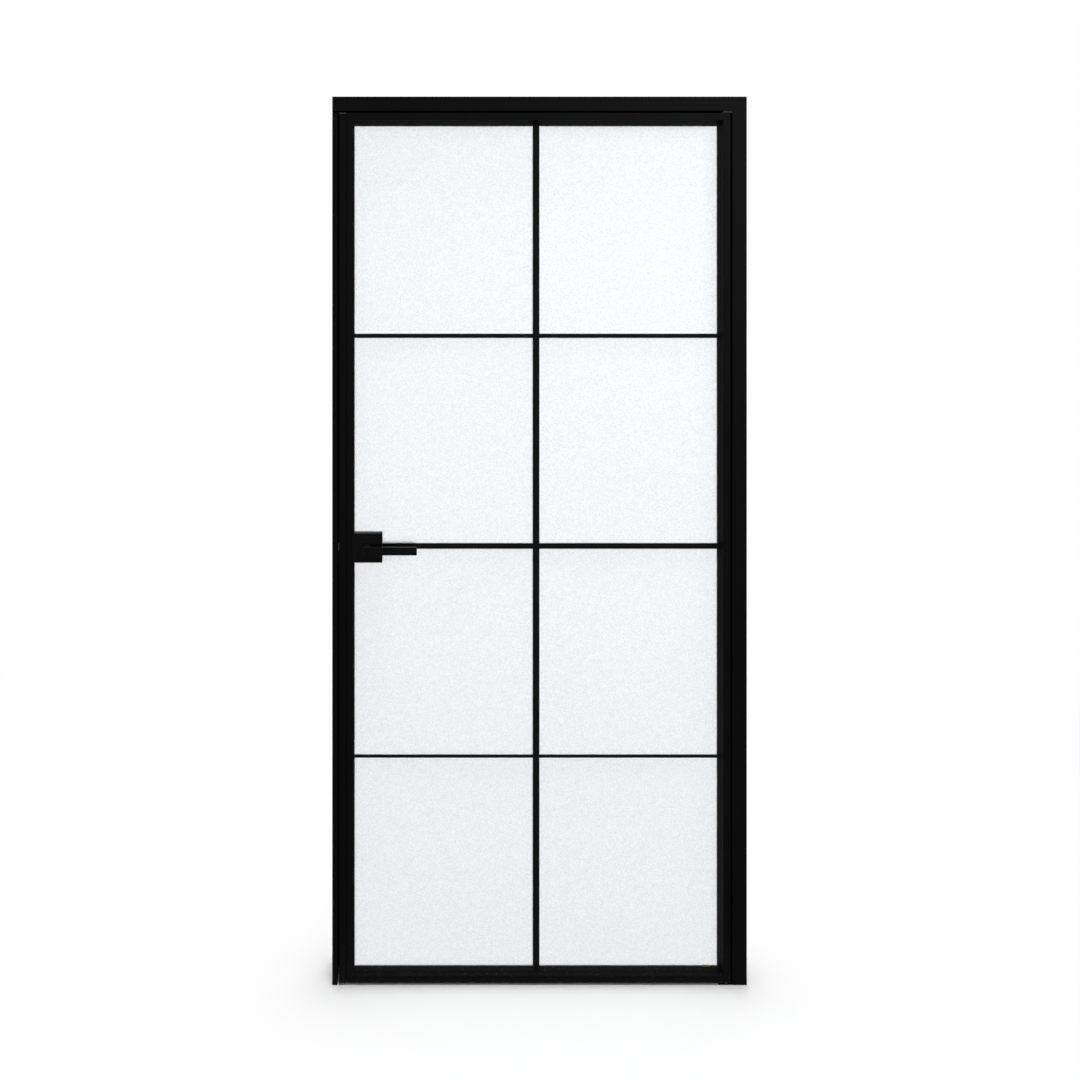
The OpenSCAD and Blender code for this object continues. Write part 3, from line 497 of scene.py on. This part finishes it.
def satin_glass_material(name, color, roughness):
    """Acid-etched glass: milky body, fine silky grain."""
    material, tree, shader = start_material(name)
    grain = place_group(tree, "coat_grain", coat_grain_group, Roughness=roughness, Grain_Scale=380.0,
                        Tone_Scale=3.0, Spread=0.08)
    grain_rise = (0.35, 0.65)
    speckle = map_range(tree, (grain, "Height"), grain_rise, (0.0, 1.0))
    tint = add_tone(tree, (speckle, "Result"), color, GLASS_TONES)
    feed_shader(tree, shader, tint, grain, strength=0.15, distance=0.0002)
    shader.inputs["Transmission Weight"].default_value = GLASS_CLEAR
    shader.inputs["IOR"].default_value = GLASS_IOR
    return material


def soften_edges(piece, width):
    """Rounds a CAD node's sharp edges a little."""
    weld = piece.modifiers.new("join_corners", "WELD")
    weld.merge_threshold = WELD_REACH
    bevel = piece.modifiers.new("round_edges", "BEVEL")
    bevel.width = width
    bevel.segments = ROUND_STEPS
    bevel.limit_method = "ANGLE"
    bevel.angle_limit = SHARP_ANGLE


def dress(names, material, rounding=None):
    """Puts one material on CAD nodes and, where a width is given, rounds their edges."""
    for name in names:
        piece = NODES[name]
        piece.data.materials.clear()
        piece.data.materials.append(material)
        if rounding is not None:
            soften_edges(piece, rounding)


# Geometry Nodes helpers


class NodeTree:
    """A Geometry Nodes tree with named inputs that ends in realized, coloured geometry."""

    def __init__(self, name, inputs):
        """Starts the tree; inputs are (label, kind), such as Float, Int, Vector, Object or Material."""
        self.tree = bpy.data.node_groups.new(name, "GeometryNodeTree")
        interface = self.tree.interface
        interface.new_socket(name="Geometry", in_out="OUTPUT", socket_type="NodeSocketGeometry")
        self.given = self.tree.nodes.new("NodeGroupInput")
        self.identifiers = {}
        for label, kind in inputs:
            socket = interface.new_socket(name=label, in_out="INPUT", socket_type="NodeSocket" + kind)
            self.identifiers[label] = socket.identifier

    def feed(self, node, **sockets):
        """Joins the tree's named inputs to a node; an underscore stands for a space."""
        for socket, label in sockets.items():
            wire(self.tree, (self.given, label), (node, socket.replace("_", " ")))

    def close(self, node, socket):
        """Realizes the instances, sets the material and ends the tree."""
        realize = self.tree.nodes.new("GeometryNodeRealizeInstances")
        paint = self.tree.nodes.new("GeometryNodeSetMaterial")
        out = self.tree.nodes.new("NodeGroupOutput")
        wire(self.tree, (node, socket), (realize, "Geometry"))
        wire(self.tree, (realize, "Geometry"), (paint, "Geometry"))
        self.feed(paint, Material="Material")
        wire(self.tree, (paint, "Geometry"), (out, "Geometry"))

    def run(self, name, values):
        """Evaluates the tree with the values given and returns a plain mesh object."""
        piece = bpy.data.objects.new(name, bpy.data.meshes.new(name))
        bpy.context.scene.collection.objects.link(piece)
        modifier = piece.modifiers.new("build", "NODES")
        modifier.node_group = self.tree
        for label, value in values.items():
            modifier[self.identifiers[label]] = value
        graph = bpy.context.evaluated_depsgraph_get()
        mesh = bpy.data.meshes.new_from_object(piece.evaluated_get(graph))
        piece.modifiers.remove(modifier)
        piece.data = mesh
        if not mesh.polygons:
            raise RuntimeError(f"{name} came out empty")
        return piece


def screw_row_tree():
    """Screws placed on a straight row of points, each turned from the one before."""
    nodes = NodeTree("screw_row", (
        ("Screw", "Object"), ("Count", "Int"), ("Start", "Vector"), ("Step", "Vector"),
        ("Turn", "Vector"), ("Material", "Material"),
    ))
    tree = nodes.tree
    row = tree.nodes.new("GeometryNodeMeshLine")
    nodes.feed(row, Count="Count", Start_Location="Start", Offset="Step")
    master = tree.nodes.new("GeometryNodeObjectInfo")
    nodes.feed(master, Object="Screw")
    index = tree.nodes.new("GeometryNodeInputIndex")
    turn = add_node(tree, "ShaderNodeVectorMath", operation="SCALE")
    nodes.feed(turn, Vector="Turn")
    wire(tree, (index, "Index"), (turn, "Scale"))
    place = tree.nodes.new("GeometryNodeInstanceOnPoints")
    wire(tree, (row, "Mesh"), (place, "Points"))
    wire(tree, (master, "Geometry"), (place, "Instance"))
    wire(tree, (turn, "Vector"), (place, "Rotation"))
    nodes.close(place, "Instances")
    return nodes


def bristle_tree():
    """Bristles on a grid of points, each leaning a little at random, about a root strip."""
    nodes = NodeTree("bristle_strip", (
        ("Middle", "Vector"), ("Length", "Float"), ("Width", "Float"), ("Along", "Int"),
        ("Rows", "Int"), ("Radius", "Float"), ("Height", "Float"), ("Lean", "Vector"),
        ("Lean Back", "Vector"), ("Root", "Object"), ("Material", "Material"),
    ))
    tree = nodes.tree
    grid = tree.nodes.new("GeometryNodeMeshGrid")
    nodes.feed(grid, Size_X="Length", Size_Y="Width", Vertices_X="Along", Vertices_Y="Rows")
    move = tree.nodes.new("GeometryNodeTransform")
    nodes.feed(move, Translation="Middle")
    wire(tree, (grid, "Mesh"), (move, "Geometry"))
    hair = add_node(tree, "GeometryNodeMeshCylinder", Vertices=BRISTLE_SIDES)
    nodes.feed(hair, Radius="Radius", Depth="Height")
    lean = add_node(tree, "FunctionNodeRandomValue", data_type="FLOAT_VECTOR", Seed=BRISTLE_SEED)
    nodes.feed(lean, Min="Lean Back", Max="Lean")
    place = tree.nodes.new("GeometryNodeInstanceOnPoints")
    wire(tree, (move, "Geometry"), (place, "Points"))
    wire(tree, (hair, "Mesh"), (place, "Instance"))
    wire(tree, (lean, "Value"), (place, "Rotation"))
    root = tree.nodes.new("GeometryNodeObjectInfo")
    nodes.feed(root, Object="Root")
    join = tree.nodes.new("GeometryNodeJoinGeometry")
    wire(tree, (root, "Geometry"), (join, "Geometry"))
    wire(tree, (place, "Instances"), (join, "Geometry"))
    nodes.close(join, "Geometry")
    return nodes


# Mesh helpers


def mesh_object(name, build):
    """Object at the origin whose mesh is filled by build(bmesh)."""
    mesh = bpy.data.meshes.new(name)
    form = bmesh.new()
    build(form)
    bmesh.ops.recalc_face_normals(form, faces=form.faces)
    form.to_mesh(mesh)
    form.free()
    piece = bpy.data.objects.new(name, mesh)
    bpy.context.scene.collection.objects.link(piece)
    return piece


def ring(form, radii, height):
    """Ring of vertices round Z at a height, one for each radius."""
    points = []
    for i, radius in enumerate(radii):
        angle = math.tau * i / len(radii)
        points.append(form.verts.new((radius * math.cos(angle), radius * math.sin(angle), height)))
    return points


def join_rings(form, first, second):
    """Faces between two rings of equal count."""
    for i in range(len(first)):
        j = (i + 1) % len(first)
        form.faces.new((first[i], first[j], second[j], second[i]))


def socket_radii(corner_radius):
    """Distances of a socket's wall from its axis, with a corner on every fourth vertex of the ring."""
    half_side = math.pi / SOCKET_SIDES
    flat = corner_radius * math.cos(half_side)
    radii = []
    for i in range(SCREW_SIDES):
        angle = math.tau * i / SCREW_SIDES
        radii.append(flat / math.cos(angle % (2 * half_side) - half_side))
    return radii


def screw_master(name, head_radius, head_height, shank_radius, length, socket_radius):
    """Screw along -Z whose head ends at the origin, with a rounded rim and a six-sided socket."""
    rim = head_height * RIM_PART

    def build(form):
        outline = (
            (shank_radius, -length), (shank_radius, -head_height), (head_radius, -head_height),
            (head_radius, -rim), (head_radius - rim, 0.0),
        )
        rings = [ring(form, [radius] * SCREW_SIDES, height) for radius, height in outline]
        form.faces.new(list(reversed(rings[0])))
        wall = socket_radii(socket_radius)
        rings.append(ring(form, wall, 0.0))
        rings.append(ring(form, wall, -head_height * SOCKET_DEPTH))
        for first, second in zip(rings, rings[1:]):
            join_rings(form, first, second)
        form.faces.new(rings[-1])

    return mesh_object(name, build)


class DOOR_OT_coat_frame(Operator):
    """Coats the fixed frame and its stop strips"""

    bl_idname = "door.coat_frame"
    bl_label = "Coat Frame"

    def execute(self, context):
        finish = context.scene.door_finish
        coat = coat_material("black_coat_frame", finish.coat_color, finish.coat_roughness,
                             FRAME_DUST_AND_TOP_LIGHT, finish.dust_and_top_light_color)
        dress(FRAME_COATED, coat, finish.mitre_round)
        return {"FINISHED"}


class DOOR_OT_coat_leaf(Operator):
    """Coats the leaf's profiles, beads and glazing bars"""

    bl_idname = "door.coat_leaf"
    bl_label = "Coat Leaf"

    def execute(self, context):
        finish = context.scene.door_finish
        coat = coat_material("black_coat_leaf", finish.coat_color, finish.coat_roughness,
                             LEAF_DUST_AND_TOP_LIGHT, finish.dust_and_top_light_color)
        dress(LEAF_COATED, coat, finish.mitre_round)
        # A lighter copy of the same black coat on the bars, as a painted sheen
        bars = coat_material("black_coat_bars_painted_sheen", shade(finish.coat_color, BAR_PAINTED_SHEEN),
                             finish.coat_roughness + BAR_ROUGHER, BAR_DUST_AND_TOP_LIGHT, finish.dust_and_top_light_color)
        dress(BARS, bars)
        return {"FINISHED"}


class DOOR_OT_glaze(Operator):
    """Gives the pane its satin glass, and the seals and blocks round it their rubber and plastic"""

    bl_idname = "door.glaze"
    bl_label = "Glaze Leaf"

    def execute(self, context):
        finish = context.scene.door_finish
        glass = satin_glass_material("satin_glass", finish.glass_color, finish.glass_roughness)
        dress(("glass_pane",), glass)
        rubber = soft_material("black_rubber", finish.rubber_color, roughness=0.65, grain_scale=1500.0,
                               specular=0.3)
        dress(RUBBER, rubber)
        plastic = soft_material("black_plastic", finish.rubber_color, roughness=0.5, grain_scale=1100.0,
                                specular=0.35)
        dress(PLASTIC, plastic)
        packer = soft_material("tan_packer", finish.packer_color, roughness=0.6, grain_scale=700.0,
                               specular=0.3)
        dress(("glazing_packer",), packer)
        return {"FINISHED"}


class DOOR_OT_finish_handles(Operator):
    """Coats the levers, the lock and its covers, and softens the edges of levers and covers"""

    bl_idname = "door.finish_handles"
    bl_label = "Finish Handles"

    def execute(self, context):
        finish = context.scene.door_finish
        coat = coat_material("handle_black", finish.handle_color, HANDLE_ROUGHNESS, HANDLE_DUST_AND_TOP_LIGHT,
                             finish.dust_and_top_light_color)
        dress(HANDLES, coat, finish.edge_round)
        dress(LOCK, coat)
        return {"FINISHED"}


class DOOR_OT_finish_metal(Operator):
    """Gives the steel fittings and the hidden corner pieces their metal"""

    bl_idname = "door.finish_metal"
    bl_label = "Finish Metal"

    def execute(self, context):
        color = context.scene.door_finish.steel_color
        steel = metal_material("brushed_steel", color, roughness=0.28, line_scale=BRUSHED_LINES)
        dress(STEEL, steel)
        dark = metal_material("dark_steel", shade(color, DARK_SHADE), roughness=0.45,
                              line_scale=BRUSHED_LINES)
        dress(DARK_STEEL, dark)
        mill = metal_material("sawn_aluminium", shade(color, ALUMINIUM_SHADE), roughness=0.4,
                              line_scale=SAWN_LINES)
        dress(MILL, mill)
        return {"FINISHED"}


class DOOR_OT_add_screws(Operator):
    """Puts socket-headed screws in the lock covers, the forend, the strike plate and the levers"""

    bl_idname = "door.add_screws"
    bl_label = "Add Screws"

    def execute(self, context):
        fittings = context.scene.door_fittings
        steel_color = context.scene.door_finish.steel_color
        steel = metal_material("blackened_steel", shade(steel_color, BLACKENED_SHADE), roughness=0.5,
                               line_scale=BRUSHED_LINES)
        tree = screw_row_tree()
        cover = (fittings.cover_head_radius, fittings.cover_head_height)
        edge = (fittings.edge_head_radius, fittings.edge_head_height)
        lever = (fittings.lever_head_radius, fittings.lever_head_height)
        rows = (
            ("cover_screws", "leaf", Vector((0, 1, 0)), cover),
            ("forend_screws", "leaf", Vector((-1, 0, 0)), edge),
            ("strike_screws", "frame", Vector((1, 0, 0)), edge),
            ("lever_screws", "handle", Vector((0, -1, 0)), lever),
        )
        for node, body, outward, (head_radius, head_height) in rows:
            low, high = (Vector(corner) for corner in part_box(node))
            along = [bool(value) for value in outward].index(True)
            start = (low + high) / 2
            start[along] = high[along] if outward[along] > 0 else low[along]
            length = high[along] - low[along]
            step = Vector((0, 0, high.z - low.z - 2 * head_radius))
            turn = Vector((0, 0, 0))
            if node == "lever_screws":
                # The second lever's screw faces the other way
                step = Vector((0, length, 0))
                turn.z = math.pi
                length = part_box("spindle")[0][1] + fittings.lever_bite - low.y
            else:
                start.z = low.z + head_radius
            master = screw_master(node + "_master", head_radius, head_height, fittings.shank_radius,
                                  length, fittings.socket_part * head_radius)
            master.data.transform(outward.to_track_quat("Z", "Y").to_matrix().to_4x4())
            screws = tree.run(node + "_socketed", {
                "Screw": master, "Count": SCREWS_IN_ROW, "Start": start, "Step": step, "Turn": turn,
                "Material": steel,
            })
            bpy.data.objects.remove(master)
            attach(screws, body)
            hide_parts(node)
        return {"FINISHED"}


class DOOR_OT_add_bristles(Operator):
    """Makes the brush under the bottom rail from a root strip and bristles"""

    bl_idname = "door.add_bristles"
    bl_label = "Add Bristles"

    def execute(self, context):
        finish = context.scene.door_finish
        fittings = context.scene.door_fittings
        low, high = (Vector(corner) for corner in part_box("brush_seal"))
        middle = (low + high) / 2
        rail_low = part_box("bottom_rail")[0][2]

        def root_strip(form):
            bmesh.ops.create_cube(form, size=1.0)
            size = Vector((high.x - low.x, high.y - low.y, high.z - rail_low - ROOT_UNDERSIDE))
            place = Vector((middle.x, middle.y, high.z - size.z / 2))
            for vert in form.verts:
                vert.co = Vector(a * b for a, b in zip(vert.co, size)) + place

        root = mesh_object("brush_root", root_strip)
        height = rail_low + BRISTLE_TOP - low.z
        lean = Vector((fittings.bristle_lean, fittings.bristle_lean, 0))
        bristle = soft_material("black_bristle", finish.rubber_color, roughness=0.6, grain_scale=2500.0,
                                specular=0.3)
        brush = bristle_tree().run("brush_bristles", {
            "Middle": Vector((middle.x, middle.y, low.z + height / 2)),
            "Length": high.x - low.x - BAND_SHORT,
            "Width": BRISTLE_BAND,
            "Along": int((high.x - low.x) / fittings.bristle_pitch),
            "Rows": fittings.bristle_rows,
            "Radius": fittings.bristle_radius,
            "Height": height,
            "Lean": lean,
            "Lean Back": -lean,
            "Root": root,
            "Material": bristle,
        })
        bpy.data.objects.remove(root)
        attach(brush, "leaf")
        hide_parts("brush_seal")
        return {"FINISHED"}


class DOOR_OT_set_stage(Operator):
    """Sets the pale floor, the even light, the lamps and the camera"""

    bl_idname = "door.set_stage"
    bl_label = "Set Stage"

    def execute(self, context):
        stage = context.scene.door_stage
        self.lay_floor(stage)
        self.light_world(context.scene, stage)
        suns = (
            ("front_light", (0, 1, 0), stage.front_light, LEVEL_SPREAD),
            ("rear_light", (0, -1, 0), stage.rear_light, LEVEL_SPREAD),
            ("left_light", (1, 0, 0), stage.side_light, LEVEL_SPREAD),
            ("right_light", (-1, 0, 0), stage.side_light, LEVEL_SPREAD),
            ("top_light", (0, 0, -1), stage.top_light, TOP_SPREAD),
        )
        for name, along, level, spread in suns:
            self.shine(name, Vector(along), level, spread)
        key = self.hang_lamp("key_lamp", KEY_PLACE, KEY_TARGET, KEY_SIZE, stage.key_power)
        key.visible_glossy = False
        card = self.hang_lamp("gloss_card", CARD_PLACE, DOOR_MIDDLE, CARD_SIZE, stage.card_power)
        card.visible_diffuse = False
        self.hang_lamp("back_lamp", BACK_PLACE, DOOR_MIDDLE, BACK_SIZE, stage.back_power)
        self.set_camera(context.scene, stage)
        context.scene.view_settings.view_transform = "Standard"
        return {"FINISHED"}

    def lay_floor(self, stage):
        """A round pale floor that takes the door's shadow and fades into the background."""

        def disc(form):
            bmesh.ops.create_circle(form, cap_ends=True, radius=stage.floor_radius,
                                    segments=FLOOR_SIDES)

        floor = mesh_object("floor", disc)
        floor.data.materials.append(self.floor_material(stage))
        floor.visible_diffuse = False
        floor.visible_shadow = False

    def floor_material(self, stage):
        """Pale and matt at the door's foot, white to the camera past it, and clear far out."""
        material, tree, shader = start_material("pale_floor")
        shader.inputs["Base Color"].default_value = (*stage.floor_color, 1)
        shader.inputs["Roughness"].default_value = FLOOR_ROUGHNESS
        shader.inputs["Specular IOR Level"].default_value = FLOOR_SPECULAR
        white = tree.nodes.new("ShaderNodeEmission")
        clear = tree.nodes.new("ShaderNodeBsdfTransparent")
        path = tree.nodes.new("ShaderNodeLightPath")
        coords = tree.nodes.new("ShaderNodeTexCoord")
        apart = self.beyond_foot(tree, coords)
        plain = combine(tree, "MULTIPLY", (path, "Is Camera Ray"), (apart, "Value"))
        seen = combine(tree, "MAXIMUM", (plain, "Value"), (path, "Is Transmission Ray"))
        lift = combine(tree, "MULTIPLY", (seen, "Value"), stage.floor_white)
        distance = add_node(tree, "ShaderNodeVectorMath", operation="LENGTH")
        wire(tree, (coords, "Object"), (distance, "Vector"))
        far = (FADE_START, stage.floor_radius * FADE_END)
        fade = map_range(tree, (distance, "Value"), far, (0.0, 1.0))
        gone = combine(tree, "MAXIMUM", (fade, "Result"), (path, "Is Glossy Ray"))
        pale = self.mix_shaders(tree, (lift, "Value"), (shader, "BSDF"), (white, "Emission"))
        surface = self.mix_shaders(tree, (gone, "Value"), (pale, "Shader"), (clear, "BSDF"))
        wire(tree, (surface, "Shader"), (tree.nodes["Material Output"], "Surface"))
        return material

    def mix_shaders(self, tree, factor, first, second):
        """Mixes two shaders by a factor and returns the mix node."""
        mix = tree.nodes.new("ShaderNodeMixShader")
        wire(tree, factor, (mix, "Fac"))
        wire(tree, first, (mix, 1))
        wire(tree, second, (mix, 2))
        return mix

    def beyond_foot(self, tree, coords):
        """Grows from 0 to 1 over a short way past the door's own footprint."""
        reach = (CAD_BOX[1][0], FRAME_DEPTH / 2, 1.0)
        apart = add_node(tree, "ShaderNodeVectorMath", operation="ABSOLUTE")
        past = add_node(tree, "ShaderNodeVectorMath", operation="SUBTRACT")
        past.inputs[1].default_value = reach
        outside = add_node(tree, "ShaderNodeVectorMath", operation="MAXIMUM")
        length = add_node(tree, "ShaderNodeVectorMath", operation="LENGTH")
        wire(tree, (coords, "Object"), (apart, 0))
        for first, second in ((apart, past), (past, outside), (outside, length)):
            wire(tree, (first, "Vector"), (second, 0))
        way = map_range(tree, (length, "Value"), (0.0, FOOT_WAY), (0.0, 1.0))
        return combine(tree, "POWER", (way, "Result"), FOOT_POWER)

    def light_world(self, scene, stage):
        """Even light all round, seen as white by the camera and through the glass."""
        world = bpy.data.worlds.new("studio")
        scene.world = world
        world.use_nodes = True
        tree = world.node_tree
        backdrop = tree.nodes["Background"]
        backdrop.inputs["Color"].default_value = (1, 1, 1, 1)
        path = tree.nodes.new("ShaderNodeLightPath")
        seen = combine(tree, "MAXIMUM", (path, "Is Camera Ray"), (path, "Is Transmission Ray"))
        coords = tree.nodes.new("ShaderNodeTexCoord")
        place = tree.nodes.new("ShaderNodeSeparateXYZ")
        wire(tree, (coords, "Generated"), (place, "Vector"))
        height = map_range(tree, (place, "Z"), GLOSS_RISE, (stage.gloss_low, stage.gloss_high))
        gloss = add_node(tree, "ShaderNodeMix", data_type="FLOAT", A=stage.fill_light)
        wire(tree, (height, "Result"), (gloss, "B"))
        wire(tree, (path, "Is Glossy Ray"), (gloss, "Factor"))
        level = add_node(tree, "ShaderNodeMix", data_type="FLOAT", B=1.0)
        wire(tree, (gloss, "Result"), (level, "A"))
        wire(tree, (seen, "Value"), (level, "Factor"))
        wire(tree, (level, "Result"), (backdrop, "Strength"))

    def shine(self, name, along, level, spread):
        """A plain parallel light that leaves no glare on the coat or through the glass."""
        lamp = bpy.data.lights.new(name, "SUN")
        lamp.energy = math.pi * level
        lamp.angle = spread
        holder = bpy.data.objects.new(name, lamp)
        bpy.context.scene.collection.objects.link(holder)
        holder.rotation_euler = along.to_track_quat("-Z", "Y").to_euler()
        holder.visible_glossy = False
        holder.visible_transmission = False

    def hang_lamp(self, name, place, target, size, power):
        """A square soft lamp that looks at the door."""
        lamp = bpy.data.lights.new(name, "AREA")
        lamp.size = size
        lamp.energy = power
        holder = bpy.data.objects.new(name, lamp)
        bpy.context.scene.collection.objects.link(holder)
        holder.location = place
        holder.rotation_euler = (target - place).to_track_quat("-Z", "Y").to_euler()
        holder.visible_camera = False
        return holder

    def set_camera(self, scene, stage):
        """A level camera, close to the door and left of its middle, shifted to take all of it in."""
        camera = bpy.data.cameras.new("camera")
        camera.sensor_width = SENSOR_WIDTH
        camera.lens = stage.lens
        camera.shift_x, camera.shift_y = stage.shift
        holder = bpy.data.objects.new("camera", camera)
        scene.collection.objects.link(holder)
        holder.location = stage.eye
        holder.rotation_euler = (math.pi / 2, 0, 0)
        scene.camera = holder


class DOOR_PT_finish(Panel):
    """Lists the door's sizes, colours and steps"""

    bl_label = "Glass Door"
    bl_idname = "DOOR_PT_finish"
    bl_space_type = "VIEW_3D"
    bl_region_type = "UI"
    bl_category = "Glass Door"

    def draw(self, context):
        layout = self.layout
        scene = context.scene
        for group in (scene.door_finish, scene.door_fittings, scene.door_stage):
            box = layout.box()
            for name in group.__annotations__:
                box.prop(group, name)
        for operator in OPERATORS:
            layout.operator(operator.bl_idname)


OPERATORS = (
    DOOR_OT_coat_frame,
    DOOR_OT_coat_leaf,
    DOOR_OT_glaze,
    DOOR_OT_finish_handles,
    DOOR_OT_finish_metal,
    DOOR_OT_add_screws,
    DOOR_OT_add_bristles,
    DOOR_OT_set_stage,
)
CLASSES = (DoorFinish, DoorFittings, DoorStage) + OPERATORS + (DOOR_PT_finish,)


def register():
    """Registers the classes and the scene's settings."""
    for cls in CLASSES:
        bpy.utils.register_class(cls)
    bpy.types.Scene.door_finish = PointerProperty(type=DoorFinish)
    bpy.types.Scene.door_fittings = PointerProperty(type=DoorFittings)
    bpy.types.Scene.door_stage = PointerProperty(type=DoorStage)


def unregister():
    """Removes the settings and the classes."""
    del bpy.types.Scene.door_stage
    del bpy.types.Scene.door_fittings
    del bpy.types.Scene.door_finish
    for cls in reversed(CLASSES):
        bpy.utils.unregister_class(cls)


def main():
    """Dresses the door and sets the stage."""
    register()
    bpy.ops.door.coat_frame()
    bpy.ops.door.coat_leaf()
    bpy.ops.door.glaze()
    bpy.ops.door.finish_handles()
    bpy.ops.door.finish_metal()
    bpy.ops.door.add_screws()
    bpy.ops.door.add_bristles()
    bpy.ops.door.set_stage()


if __name__ == "__main__":
    main()
